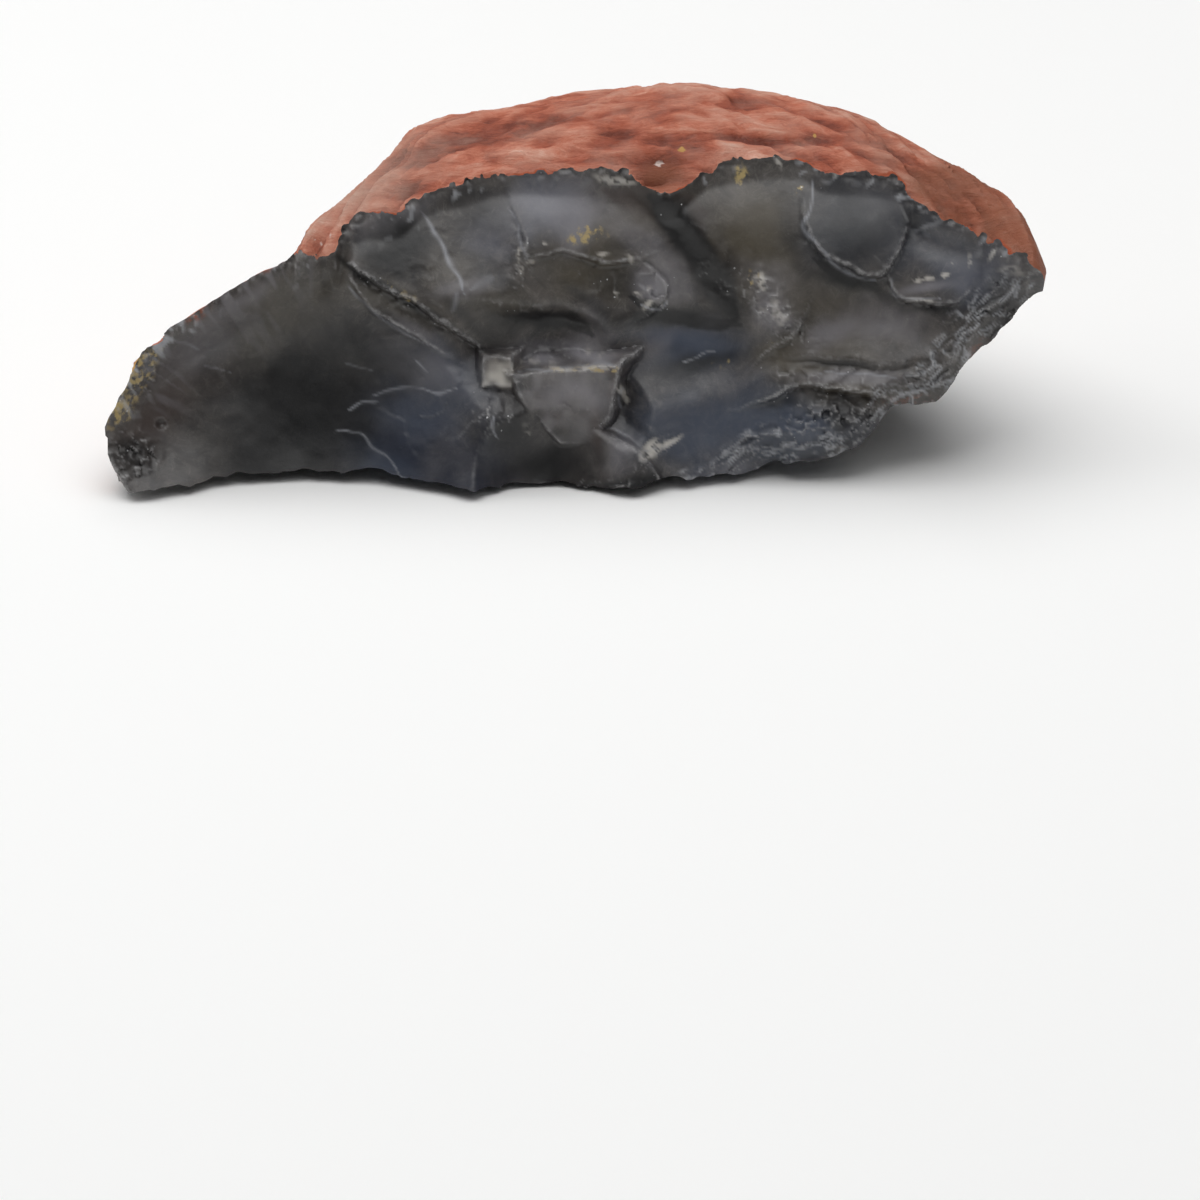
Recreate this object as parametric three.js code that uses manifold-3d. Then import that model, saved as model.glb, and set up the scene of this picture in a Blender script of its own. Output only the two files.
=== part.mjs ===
// A rough black agate: a nodule of dark chalcedony with a brick-red rind, split open.
// The rind makes a low dome over the top and the back. The broken face looks forwards and leans back,
// and shows the curved scars and sharp ledges of a glassy fracture. The stone stands on a small flat spot.
//
// Units are millimetres. In the stone's own frame X runs along its length, Y into it and Z up.
// The broken face is laid out in a frame of its own, on a plane that leans back from the front edge of the
// base: u runs along the length, s up the leaning plane, and depth into the stone.

import * as THREE from "three";
import { mergeVertices } from "three/addons/utils/BufferGeometryUtils.js";
import Module from "manifold-3d";

const wasm = await Module();
wasm.setup();

// Driving dimensions.
const HALF_LENGTH = 56.5; // the nodule's tips lie this far to each side
const LEAN = THREE.MathUtils.degToRad(25); // how far the broken face leans back
const RIND_CELLS = 17; // how finely each icosahedron face is divided
const FACE_STEP = 1.4; // spacing of the points on the broken face
const UNDER_STEP = 2.2; // spacing of the points on the underside
const CENTRE = { x: 0, y: 26.4 }; // the middle of the stone, from the front edge of its base

// The skyline of the rind, as [u, s].
const SKYLINE = [
  [-57, 8.2], [-56.4, 9.6], [-54.6, 13.2], [-51.4, 18.4], [-45, 23.5], [-38, 27.6], [-33.4, 30.1],
  [-31.6, 33.6], [-26.7, 38.2], [-22.6, 42.5], [-18.6, 46.2], [-9.2, 48.3], [0, 50], [13.1, 51.2],
  [20.6, 50.5], [33.3, 47.7], [43.5, 42.5], [50.9, 38], [55.2, 33.2], [57, 29.6],
];
// The even run of the rind's edge along the top of the broken face, which shapes the nodule, as [u, s].
const RIND_EDGE = [
  [-57, 8.1], [-33.4, 30], [-28.9, 30.6], [-26.4, 34.2], [-20, 36.4], [-12.6, 38.6], [-1.8, 39.8], [14, 40.4],
  [27, 40.4], [36, 39], [41, 36.4], [48, 33], [52, 30.4], [57, 28.3],
];
// The edge as it broke, with the tongue that hangs into the face at the middle and the bites at the right.
const RIND_BREAK = [
  [-57, 9], [-51.4, 19], [-45, 23.8], [-38, 27.7], [-33.4, 29.9], [-28.9, 30.5], [-27.8, 33.2], [-25.8, 34.6],
  [-21, 35.4], [-18, 37.8], [-12.6, 39.2], [-9, 40.1], [-1.8, 40.3], [6.6, 40.3], [9.6, 38.3], [11.6, 37.6],
  [14, 39.7], [16.8, 41.3], [27, 42], [29.6, 40.4], [35.4, 40], [39, 39.2], [40.4, 37], [43.2, 34.8],
  [48, 33.2], [51.6, 30.4], [57, 28.3],
];
const RIM_WIDTH = 4.5; // over this width the face curves up to the rind's edge
// The nodule's widest level, how far the skyline lies behind the face, and how far the back bulges beyond it.
const WAIST = [[-57, 8], [-40, 9], [0, 12], [35, 16], [50, 23], [57, 28.2]];
const CREST_DEPTH = [
  [-57, 0.3], [-34, 0.6], [-31, 5], [-26, 11], [-18, 15], [0, 18], [20, 18], [38, 14], [50, 7], [57, 0.5],
];
const BACK_BULGE = [
  [-57, 2], [-53, 9], [-46, 17], [-34, 23], [-18, 26], [0, 28], [22, 28], [40, 22], [51, 13], [57, 2],
];
const FRONT_BULGE = 8; // the least the nodule stands in front of its skyline
const ROOT_BULGE = 24; // how far the nodule went on below its waist before it was broken
const EDGE_DEPTH = 1.4; // the usual depth of the broken face where it meets the rind

// The lower outline of the broken face to the right of the flat spot, as [u, s].
const LOW_EDGE = [
  [12, -3], [13.8, 1], [17.6, 1.8], [21.8, 4.7], [30.6, 6.4], [35.2, 8.6], [37.8, 12], [43.2, 13],
  [46.2, 15.5], [49.6, 20], [53.4, 23.4], [57, 28],
];
const BEVEL_WIDTH = 3; // the crumbled strip along that outline
const BEVEL_SLOPE = 0.7;

// Hollow scars of the fracture. Each is a bowl: where its bottom is, how deep, and its radii of curvature.
const SCARS = [
  { u: -33, s: 12, depth: 6, ru: 50, rs: 26 }, // the wide dark hollow of the left lobe
  { u: -22, s: 33, depth: 2.4, ru: 26, rs: 60 }, // three panels below the rind
  { u: -11, s: 33, depth: 2.4, ru: 18, rs: 50 },
  { u: 1, s: 35, depth: 2.8, ru: 19, rs: 44 },
  { u: 1.8, s: 25.6, depth: 4.2, ru: 18, rs: 10 }, // the olive oval
  { u: -3.6, s: 19.6, depth: 4.8, ru: 26, rs: 9 }, // the dark recess under the brow
  { u: 12.6, s: 18.2, depth: 5, ru: 28, rs: 13 }, // the blue pool
  { u: 17, s: 7, depth: 3.8, ru: 44, rs: 30 }, // the wide slope under the pool
  { u: 4.6, s: 11.8, depth: 5, ru: 3, rs: 6 }, // the pocket beside the tooth
  { u: -2, s: 3, depth: 4.6, ru: 10, rs: 14 }, // the dark foot below the tooth
  { u: 21, s: 31, depth: 2.6, ru: 30, rs: 60 }, // the olive plain
  { u: 36, s: 20, depth: 3.4, ru: 40, rs: 34 }, // the grey slope under the flakes
  { u: 42.6, s: 33.2, depth: 3, ru: 9, rs: 6 },
  { u: 49, s: 24.4, depth: 2.4, ru: 10, rs: 6 },
];
// Ledges, where a flake ended in a step. The side to the left of the line's direction stands out by rise
// and comes back to the face over reach. Width is how far the step takes to drop.
const LEDGES = [
  {
    line: [[-33, 31.5], [-28.4, 29.2], [-21, 24.8], [-16.2, 22], [-11.6, 18.8], [-9, 16]],
    rise: 3, reach: 12, width: 0.7,
  },
  {
    line: [[-29.4, 30], [-27, 26.6], [-22.8, 22], [-18.6, 19.6], [-13.4, 16.4]],
    rise: 1.5, reach: 4.5, width: 0.9,
  },
  { line: [[-9.6, 41], [-7.6, 34.8], [-6.6, 31.8], [-6.4, 27.4]], rise: 1.1, reach: 7, width: 0.8 },
  {
    line: [[-8.4, 28.4], [-4.4, 30], [-1.8, 30.1], [3, 29.2], [7.8, 29.3], [10.4, 31]],
    rise: 1.4, reach: 7, width: 0.9,
  },
  {
    line: [[-14, 24.6], [-7.8, 23.6], [-1.8, 23.2], [2.4, 21.6], [6, 18.2]],
    rise: 1.9, reach: 8, width: 0.9,
  },
  {
    line: [[8, 22.6], [10.8, 24.4], [11.4, 26.4], [9.6, 28], [6.8, 30.4]],
    rise: 1.4, reach: 4, width: 0.7,
  },
  {
    line: [[8.6, 40], [14.4, 31.2], [17.2, 27.6], [19.2, 23.4], [20.6, 18]],
    rise: 3.2, reach: 15, width: 2.8,
  },
  {
    line: [[30.5, 44], [27.6, 38], [27.3, 34], [29, 30.4], [33, 27.6], [36.2, 27], [38.4, 29], [40.5, 32]],
    rise: 2.3, reach: 12, width: 0.7,
  },
  { line: [[36.4, 29], [39, 24.4], [42, 24], [45.8, 24.6], [49, 28]], rise: 1.9, reach: 7, width: 0.7 },
  { line: [[22, 17.4], [24, 19.2], [26.6, 20.6], [28, 23.6]], rise: 1.1, reach: 5, width: 0.7 },
  { line: [[24, 18.4], [28, 17.4], [34, 17], [38.6, 16.6], [43, 18]], rise: 1.4, reach: 7, width: 0.8 },
  {
    line: [[20, 12], [22.6, 12.8], [27, 14], [33, 13.3], [38, 12.2], [41, 10]],
    rise: 2.1, reach: 5, width: 0.8,
  },
  {
    line: [[5.2, 16.6], [6.6, 14], [7, 12.4], [6.4, 11], [8.6, 8.6], [10, 7.4]],
    rise: 1, reach: 9, width: 0.7,
  },
  { line: [[11, 2.4], [8.4, 5.4], [6.8, 7], [4.8, 8.4], [1.4, 10.2]], rise: 1.5, reach: 8, width: 0.7 },
];
const LEDGE_SPREAD = 1.2; // each step drops over this many widths to either side of its line
const LEDGE_ENDS = 0.3; // a ledge fades out over this share of its line at each end
// Blocks that stand out of the face: a convex outline, anticlockwise, the depth of the top at its highest
// corner, how that top falls away downwards, and how steep its walls are.
const BLOCKS = [
  // the tooth
  {
    outline: [[-7.6, 15.3], [-2, 7.4], [3.2, 8.4], [5.4, 16.6]],
    high: -0.4, at: 16.6, fall: 0.42, wall: 2.4,
  },
  // the square chip
  {
    outline: [[-10.8, 14.3], [-7.6, 14.2], [-7.5, 17.5], [-10.6, 17.6]],
    high: 1.2, at: 17.6, fall: 0.1, wall: 1.8,
  },
];

// Height of the underside along the front edge, and further in where it runs more evenly, as [x, z].
const UNDER_FRONT = [
  [-57, 1.2], [-50, 0.4], [-43, 0.2], [-37, 0], [-34, -0.8], [10, -0.8], [13.8, 0.6], [17.6, 0.8],
  [21.8, 0.9], [26, 2], [30.6, 2.9], [35.2, 5], [37.8, 8.2], [43.2, 8.2], [46.2, 10.2], [49.6, 14.4],
  [53.4, 17.5], [57, 24],
];
const UNDER_DEEP = [
  [-57, 4], [-40, 1], [-20, -0.8], [6, -0.8], [14, 0.3], [24, 1.8], [40, 6.8], [48, 12.6], [52, 16.6],
  [57, 22],
];
const UNDER_RISE = [[-57, 0.1], [-38, 0.05], [10, 0], [24, 0.1], [57, 0.12]]; // how it climbs backwards
const DEEP_FROM = 3; // from here the underside goes over to its even run
const DEEP_TO = 15;
const SPOT = { x: 4, y: 25, halfLength: 18, halfDepth: 13 }; // the flat spot, below the centre of mass
const SPOT_RISE = 0.5; // how fast the underside lifts off around the spot
const SPOT_LIFT = 1.6; // and how far it lifts off there
const BACK_BREAK = { from: 36, slope: 0.5 }; // the last stretch climbs to the rind at the back

// A smooth curve through points [x, y], read as y at x.
function profile(points) {
  const last = points.length - 1;
  const slopes = points.map((_, i) => {
    const [x0, y0] = points[Math.max(0, i - 1)];
    const [x1, y1] = points[Math.min(last, i + 1)];
    return (y1 - y0) / (x1 - x0);
  });
  return (x) => {
    const after = points.findIndex((p) => p[0] > x);
    if (after === 0) return points[0][1];
    if (after < 0) return points[last][1];
    const i = after - 1;
    const [[x0, y0], [x1, y1]] = [points[i], points[after]];
    const gap = x1 - x0;
    const t = (x - x0) / gap;
    const ease = t * t * (3 - 2 * t);
    const bend = t * (1 - t) * gap;
    return y0 + (y1 - y0) * ease + bend * ((1 - t) * slopes[i] - t * slopes[after]);
  };
}

const skyline = profile(SKYLINE);
const rindEdge = profile(RIND_EDGE);
const rindBreak = profile(RIND_BREAK);
const waist = profile(WAIST);
const crestDepth = profile(CREST_DEPTH);
const backBulge = profile(BACK_BULGE);
const lowEdge = profile(LOW_EDGE);
const underFront = profile(UNDER_FRONT);
const underDeep = profile(UNDER_DEEP);
const underRise = profile(UNDER_RISE);
const { smoothstep, lerp } = THREE.MathUtils;
const LINE_PIECES = 5; // straight pieces between two points of a ledge's line

// A repeatable random number from -1 to 1 for each point of a unit lattice.
function lattice(i, j, k) {
  const wave = Math.sin(i * 127.1 + j * 311.7 + k * 74.7) * 43758.5453;
  return 2 * (wave - Math.floor(wave)) - 1;
}

// Smooth noise from -1 to 1, with features about one unit across.
function noise(x, y, z) {
  const [i, j, k] = [Math.floor(x), Math.floor(y), Math.floor(z)];
  const [a, b, c] = [x - i, y - j, z - k].map((t) => t * t * (3 - 2 * t));
  const row = (dj, dk) => lerp(lattice(i, j + dj, k + dk), lattice(i + 1, j + dj, k + dk), a);
  return lerp(lerp(row(0, 0), row(1, 0), b), lerp(row(0, 1), row(1, 1), b), c);
}

// Each ledge's line as a smooth curve.
for (const ledge of LEDGES) {
  const corners = ledge.line.map(([u, s]) => new THREE.Vector2(u, s));
  ledge.curve = new THREE.SplineCurve(corners).getPoints(LINE_PIECES * (corners.length - 1));
}

// Where (u, s) lies beside a curve: the signed distance, positive on the left, and the share of the curve's
// length before the nearest point.
function besideCurve(curve, u, s) {
  let best = { distance: Infinity, share: 0 };
  for (let i = 1; i < curve.length; i++) {
    const [du, ds] = [curve[i].x - curve[i - 1].x, curve[i].y - curve[i - 1].y];
    const [pu, ps] = [u - curve[i - 1].x, s - curve[i - 1].y];
    const part = THREE.MathUtils.clamp((pu * du + ps * ds) / (du * du + ds * ds), 0, 1);
    const distance = Math.hypot(pu - part * du, ps - part * ds);
    if (distance < Math.abs(best.distance)) {
      const left = du * ps - ds * pu >= 0;
      best = { distance: left ? distance : -distance, share: (i - 1 + part) / (curve.length - 1) };
    }
  }
  return best;
}

// How strongly a ledge shows at a share of its line: not at all at its ends.
function ledgeStrength(share) {
  return smoothstep(share, 0, LEDGE_ENDS) * smoothstep(1 - share, 0, LEDGE_ENDS);
}

// How far a ledge lifts the face at (u, s).
function ledgeLift({ curve, rise, reach, width }, u, s) {
  const { distance, share } = besideCurve(curve, u, s);
  const step = smoothstep(distance, -width * LEDGE_SPREAD, width * LEDGE_SPREAD);
  return rise * step * Math.exp(-((distance / reach) ** 2)) * ledgeStrength(share);
}

// The depth of a block's top and walls at (u, s).
function blockDepth({ outline, high, at, fall, wall }, u, s) {
  let outside = 0;
  outline.forEach(([u0, s0], i) => {
    const [u1, s1] = outline[(i + 1) % outline.length];
    const across = (u - u0) * (s1 - s0) - (s - s0) * (u1 - u0);
    outside = Math.max(outside, across / Math.hypot(u1 - u0, s1 - s0));
  });
  return high + fall * (at - s) + wall * outside;
}

// The depth of the broken face at (u, s).
function faceDepth(u, s) {
  let depth = -0.4;
  for (const scar of SCARS) {
    const bowl = (u - scar.u) ** 2 / (2 * scar.ru) + (s - scar.s) ** 2 / (2 * scar.rs);
    depth = Math.max(depth, scar.depth - bowl);
  }
  const [wu, ws] = [u + 0.5 * noise(u / 4, s / 4, 31), s + 0.5 * noise(u / 4, s / 4, 37)];
  for (const ledge of LEDGES) depth -= ledgeLift(ledge, wu, ws);
  for (const block of BLOCKS) depth = Math.min(depth, blockDepth(block, wu, ws));
  depth += 0.3 * noise(u / 8, s / 8, 3) + 0.15 * noise(u / 3.4, s / 3.4, 7);
  const edge = Math.min(rindBreak(u), skyline(u));
  const steepness = (rindEdge(u + 1) - rindEdge(u - 1)) / 2;
  const rim = RIM_WIDTH * Math.hypot(1, steepness);
  depth = lerp(depth, rindDepth(u, edge), smoothstep(s, edge - rim, edge));
  const crumble = Math.max(0, BEVEL_WIDTH - (s - lowEdge(u))) * smoothstep(u, 12, 20);
  return depth + crumble * BEVEL_SLOPE * (1 + 0.4 * noise(u / 2.4, s / 2.4, 11));
}

// The height of the underside at (x, y): below zero where the flat spot is.
function undersideHeight(x, y) {
  const edge = lerp(underFront(x), underDeep(x), smoothstep(y, DEEP_FROM, DEEP_TO)) + underRise(x) * y;
  const away = ((x - SPOT.x) / SPOT.halfLength) ** 2 + ((y - SPOT.y) / SPOT.halfDepth) ** 2;
  const around = Math.min(SPOT_LIFT, SPOT_RISE * (away - 1));
  const height = Math.max(edge, around, (y - BACK_BREAK.from) * BACK_BREAK.slope);
  const rough = 0.9 * noise(x / 8, y / 8, 21) + 0.5 * noise(x / 3.6, y / 3.6, 23);
  return height + rough * smoothstep(height, -0.3, 1.2);
}

// The unbroken nodule's section at u: its middle level and crest depth, and how far it reaches up, down,
// forwards and backwards from there.
function noduleSection(u) {
  const middle = waist(u);
  const top = Math.max(0.4, skyline(u) - middle);
  const root = ROOT_BULGE * Math.sqrt(1 - (u / HALF_LENGTH) ** 2) + 0.4;
  const crest = crestDepth(u);
  const edge = Math.min(0.98, (rindEdge(u) - middle) / top);
  const front = Math.max(FRONT_BULGE, (crest - EDGE_DEPTH) / Math.sqrt(1 - edge ** 2));
  return { middle, top, root, crest, front, back: backBulge(u) };
}

// Whether a point of the face's frame is inside the unbroken nodule: under 1 inside, over 1 outside.
function noduleLevel(u, s, depth) {
  if (Math.abs(u) >= HALF_LENGTH) return Infinity;
  const { middle, top, root, crest, front, back } = noduleSection(u);
  const across = (depth - crest) / (depth > crest ? back : front);
  const up = (s - middle) / (s > middle ? top : root);
  return across ** 2 + up ** 2;
}

// The depth of the rind's front at (u, s).
function rindDepth(u, s) {
  const { middle, top, crest, front } = noduleSection(u);
  const up = Math.min(1, Math.abs(s - middle) / top);
  return crest - front * Math.sqrt(1 - up ** 2);
}

// How far the rind stands out at a point: wide lumps, and grooves drawn out along the length.
function rindRelief(u, s, depth) {
  const behind = smoothstep(depth, 12, 26);
  const lumps = lerp(0.5, 1.3, behind) * noise(u / 15, s / 12, depth / 12);
  const grooves = 0.5 * noise(u / 9, s / 3.6, depth / 3.6);
  return lumps + grooves;
}

// The nodule before it was broken: a ball whose points are moved out along rays to its surface.
function noduleGeometry() {
  const heart = new THREE.Vector3(4, 17, -16);
  const reach = new THREE.Vector3(62, 46, 48);
  const geometry = new THREE.IcosahedronGeometry(1, RIND_CELLS);
  const position = geometry.getAttribute("position");
  const ray = new THREE.Vector3();
  const point = new THREE.Vector3();
  for (let i = 0; i < position.count; i++) {
    ray.fromBufferAttribute(position, i).multiply(reach);
    let [inside, outside] = [0, 2];
    for (let step = 0; step < 40; step++) {
      const middle = (inside + outside) / 2;
      point.copy(heart).addScaledVector(ray, middle);
      if (noduleLevel(point.x, point.y, -point.z) < 1) inside = middle;
      else outside = middle;
    }
    point.copy(heart).addScaledVector(ray, inside);
    const relief = rindRelief(point.x, point.y, -point.z);
    point.addScaledVector(ray.normalize(), relief);
    position.setXYZ(i, point.x, point.y, point.z);
  }
  return geometry;
}

// A block of waste to cut away, whose side that faces the stone carries the broken surface.
// It lies in the XY plane; relief gives that side's z, and the other side lies far off, towards away.
function wasteGeometry([left, right], [low, high], step, away, relief) {
  const [width, height] = [right - left, high - low];
  const [columns, rows] = [Math.round(width / step), Math.round(height / step)];
  const geometry = new THREE.BoxGeometry(width, height, 1, columns, rows, 1);
  geometry.translate((left + right) / 2, (low + high) / 2, 0);
  const position = geometry.getAttribute("position");
  for (let i = 0; i < position.count; i++) {
    const [x, y, z] = [position.getX(i), position.getY(i), position.getZ(i)];
    position.setZ(i, Math.sign(z) === Math.sign(away) ? away : relief(x, y));
  }
  return geometry;
}

// A closed geometry as a solid that can be cut.
function solidOf(geometry) {
  const bare = geometry.clone().deleteAttribute("normal").deleteAttribute("uv");
  const merged = mergeVertices(bare, 1e-4);
  return new wasm.Manifold(
    new wasm.Mesh({
      numProp: 3,
      vertProperties: merged.getAttribute("position").array,
      triVerts: new Uint32Array(merged.index.array),
    }),
  );
}

// A cut solid as a geometry with flat faces.
function geometryOf(solid) {
  const { vertProperties, triVerts } = solid.getMesh();
  const geometry = new THREE.BufferGeometry();
  geometry.setAttribute("position", new THREE.BufferAttribute(new Float32Array(vertProperties), 3));
  geometry.setIndex(new THREE.BufferAttribute(new Uint32Array(triVerts), 1));
  const faceted = geometry.toNonIndexed();
  faceted.computeVertexNormals();
  return faceted;
}

// The nodule, with the waste in front of the broken face and under the stone cut away.
function agateGeometry() {
  const span = [-HALF_LENGTH - 6, HALF_LENGTH + 6];
  const standUp = (geometry) => geometry.rotateX(Math.PI / 2 - LEAN);
  const nodule = solidOf(standUp(noduleGeometry()));
  const front = solidOf(standUp(wasteGeometry(span, [-20, 60], FACE_STEP, 60, (u, s) => -faceDepth(u, s))));
  const under = solidOf(wasteGeometry(span, [-30, 70], UNDER_STEP, -60, undersideHeight));
  const floor = solidOf(new THREE.BoxGeometry(200, 200, 60).translate(0, 0, -30));
  const stone = nodule.subtract(front).subtract(under).subtract(floor);
  return geometryOf(stone).translate(-CENTRE.x, -CENTRE.y, 0);
}

const agate = new THREE.Mesh(
  agateGeometry(),
  new THREE.MeshStandardMaterial({ color: 0x45464b, roughness: 0.3, metalness: 0, flatShading: true }),
);
agate.name = "agate";

const part = new THREE.Group();
part.add(agate);

export default part;
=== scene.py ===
import math

import bmesh
import bpy
import numpy as np
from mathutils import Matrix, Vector
from mathutils.kdtree import KDTree


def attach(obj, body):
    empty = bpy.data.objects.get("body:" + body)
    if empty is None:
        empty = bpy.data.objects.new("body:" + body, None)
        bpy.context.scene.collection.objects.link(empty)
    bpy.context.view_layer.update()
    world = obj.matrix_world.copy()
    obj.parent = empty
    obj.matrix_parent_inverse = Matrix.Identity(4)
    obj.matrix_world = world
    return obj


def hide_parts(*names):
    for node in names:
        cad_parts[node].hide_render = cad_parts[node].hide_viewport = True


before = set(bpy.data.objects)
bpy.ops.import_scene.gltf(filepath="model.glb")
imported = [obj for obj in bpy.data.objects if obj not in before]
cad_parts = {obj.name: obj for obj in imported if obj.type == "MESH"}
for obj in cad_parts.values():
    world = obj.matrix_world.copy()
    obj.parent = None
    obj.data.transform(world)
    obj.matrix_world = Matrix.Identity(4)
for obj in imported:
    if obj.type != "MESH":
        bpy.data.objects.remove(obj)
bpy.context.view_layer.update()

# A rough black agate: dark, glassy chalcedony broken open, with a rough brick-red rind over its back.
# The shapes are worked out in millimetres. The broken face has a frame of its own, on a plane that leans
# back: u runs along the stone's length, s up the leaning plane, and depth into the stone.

MM = 0.001

# The form. Its driving dimensions are the solid's, but a few ledges differ a little in reach, rise or width,
# because here they are matched to the photograph more closely.
HALF_LENGTH = 56.5
LEAN = math.radians(25)
CENTRE = (0, 26.4)  # the middle of the stone in X and Y, from the front edge of its base
# The skyline of the rind, as (u, s).
SKYLINE = [
    (-57, 8.2), (-56.4, 9.6), (-54.6, 13.2), (-51.4, 18.4), (-45, 23.5), (-38, 27.6), (-33.4, 30.1),
    (-31.6, 33.6), (-26.7, 38.2), (-22.6, 42.5), (-18.6, 46.2), (-9.2, 48.3), (0, 50), (13.1, 51.2),
    (20.6, 50.5), (33.3, 47.7), (43.5, 42.5), (50.9, 38), (55.2, 33.2), (57, 29.6),
]
# The even run of the rind's edge along the top of the face, which shapes the nodule.
RIND_EDGE = [
    (-57, 8.1), (-33.4, 30), (-28.9, 30.6), (-26.4, 34.2), (-20, 36.4), (-12.6, 38.6), (-1.8, 39.8),
    (14, 40.4), (27, 40.4), (36, 39), (41, 36.4), (48, 33), (52, 30.4), (57, 28.3),
]
# The edge as it broke, with the tongue that hangs into the face and the bites at the right.
RIND_BREAK = [
    (-57, 9), (-51.4, 19), (-45, 23.8), (-38, 27.7), (-33.4, 29.9), (-28.9, 30.5), (-27.8, 33.2),
    (-25.8, 34.6), (-21, 35.4), (-18, 37.8), (-12.6, 39.2), (-9, 40.1), (-1.8, 40.3), (6.6, 40.3),
    (9.6, 38.3), (11.6, 37.6), (14, 39.7), (16.8, 41.3), (27, 42), (29.6, 40.4), (35.4, 40), (39, 39.2),
    (40.4, 37), (43.2, 34.8), (48, 33.2), (51.6, 30.4), (57, 28.3),
]
RIM_WIDTH = 4.5  # over this width the face curves up to the rind's edge
# The nodule's widest level, how far its skyline lies behind the face, and how far the back bulges beyond it.
WAIST = [(-57, 8), (-40, 9), (0, 12), (35, 16), (50, 23), (57, 28.2)]
CREST_DEPTH = [
    (-57, 0.3), (-34, 0.6), (-31, 5), (-26, 11), (-18, 15), (0, 18), (20, 18), (38, 14), (50, 7),
    (57, 0.5),
]
BACK_BULGE = [
    (-57, 2), (-53, 9), (-46, 17), (-34, 23), (-18, 26), (0, 28), (22, 28), (40, 22), (51, 13), (57, 2),
]
FRONT_BULGE = 8  # the least the nodule stands in front of its skyline
ROOT_BULGE = 24  # how far the nodule went on below its waist
EDGE_DEPTH = 1.4  # the usual depth of the face where it meets the rind
TIP_ROUND = 2.6  # the tips are rounded off over this length
# The lower outline of the face to the right of the flat spot, and the crumbled bevel along it.
LOW_EDGE = [
    (12, -3), (13.8, 1), (17.6, 1.8), (21.8, 4.7), (30.6, 6.4), (35.2, 8.6), (37.8, 12), (43.2, 13),
    (46.2, 15.5), (49.6, 20), (53.4, 23.4), (57, 28),
]
BEVEL_WIDTH = 3
BEVEL_SLOPE = 0.7
# Bowl-shaped scars of the fracture: u and s of the bottom, its depth, and the two radii of curvature.
SCARS = [
    (-33, 12, 6, 50, 26), (-22, 33, 2.4, 26, 60), (-11, 33, 2.4, 18, 50), (1, 35, 2.8, 19, 44),
    (1.8, 25.6, 4.2, 18, 10), (-3.6, 19.6, 4.8, 26, 9), (12.6, 18.2, 5, 28, 13), (17, 7, 3.8, 44, 30),
    (4.6, 11.8, 5, 3, 6), (-2, 3, 4.6, 10, 14), (21, 31, 2.6, 30, 60), (36, 20, 3.4, 40, 34),
    (42.6, 33.2, 3, 9, 6), (49, 24.4, 2.4, 10, 6),
]
# Ledges: the line, how far the side to its left stands out, how far that reaches, and the step's width.
LEDGES = [
    ([(-33, 31.5), (-28.4, 29.2), (-21, 24.8), (-16.2, 22), (-11.6, 18.8), (-9, 16)], 3, 12, 0.7),
    ([(-29.4, 30), (-27, 26.6), (-22.8, 22), (-18.6, 19.6), (-13.4, 16.4)], 1.5, 4.5, 0.9),
    ([(-9.6, 41), (-7.6, 34.8), (-6.6, 31.8), (-6.4, 27.4)], 1.1, 7, 0.8),
    ([(-8.4, 28.4), (-4.4, 30), (-1.8, 30.1), (3, 29.2), (7.8, 29.3), (10.4, 31)], 1.4, 7, 0.9),
    ([(-14, 24.6), (-7.8, 23.6), (-1.8, 23.2), (2.4, 21.6), (6, 18.2)], 1.9, 8, 3),
    ([(8, 22.6), (10.8, 24.4), (11.4, 26.4), (9.6, 28), (6.8, 30.4)], 1.4, 4, 0.7),
    ([(8.6, 40), (14.4, 31.2), (17.2, 27.6), (19.2, 23.4), (20.6, 18)], 3.2, 15, 7),
    ([
        (30.5, 44), (27.6, 38), (27.3, 34), (29, 30.4), (33, 27.6), (36.2, 27), (38.4, 29), (40.2, 32),
        (40.8, 36), (40.4, 41), (40, 45),
    ], 2, 24, 0.7),
    ([(36.4, 29), (39, 24.4), (42, 24), (45.8, 24.6), (49, 28)], 1.7, 12, 0.7),
    ([(22, 17.4), (24, 19.2), (26.6, 20.6), (28, 23.6)], 1.1, 5, 0.7),
    ([(24, 18.4), (28, 17.4), (34, 17), (38.6, 16.6), (43, 18)], 1.0, 9, 1.4),
    ([(20, 12), (22.6, 12.8), (27, 14), (33, 13.3), (38, 12.2), (41, 10)], 2.1, 5, 0.8),
    ([(5.2, 16.6), (6.6, 14), (7, 12.4), (6.4, 11), (8.6, 8.6), (10, 7.4)], 1, 9, 2.4),
    ([(11, 2.4), (8.4, 5.4), (6.8, 7), (4.8, 8.4), (1.4, 10.2)], 1.5, 8, 1),
]
LEDGE_ENDS = 0.3  # a ledge is faint within this share of its length from either end point
LEDGE_TAPER = 0.1  # and it fades out over this share of its line at each end
WORN_DOWN = [(33.5, 33, 9, 8, 0), (-3, 37, 8, 7, 0)]  # patches where the scars' joins are worn away
PIT = (-49.8, 9.8)  # a small round pit in the left lobe
SCAR_JOIN = 0.3  # how softly two scars meet
RIND_JOIN = 0.7  # how softly the face turns in behind the rind
# Blocks that stand out: the outline, the depth at the highest corner, its level, the fall and the walls.
TOOTH = [(-7.6, 15.3), (-2, 7.4), (3.2, 8.4), (5.4, 16.6)]
SQUARE_CHIP = [(-10.8, 14.3), (-7.6, 14.2), (-7.5, 17.5), (-10.6, 17.6)]
BLOCKS = [(TOOTH, -0.4, 16.6, 0.42, 2.4), (SQUARE_CHIP, 1.2, 17.6, 0.1, 1.8)]
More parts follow.
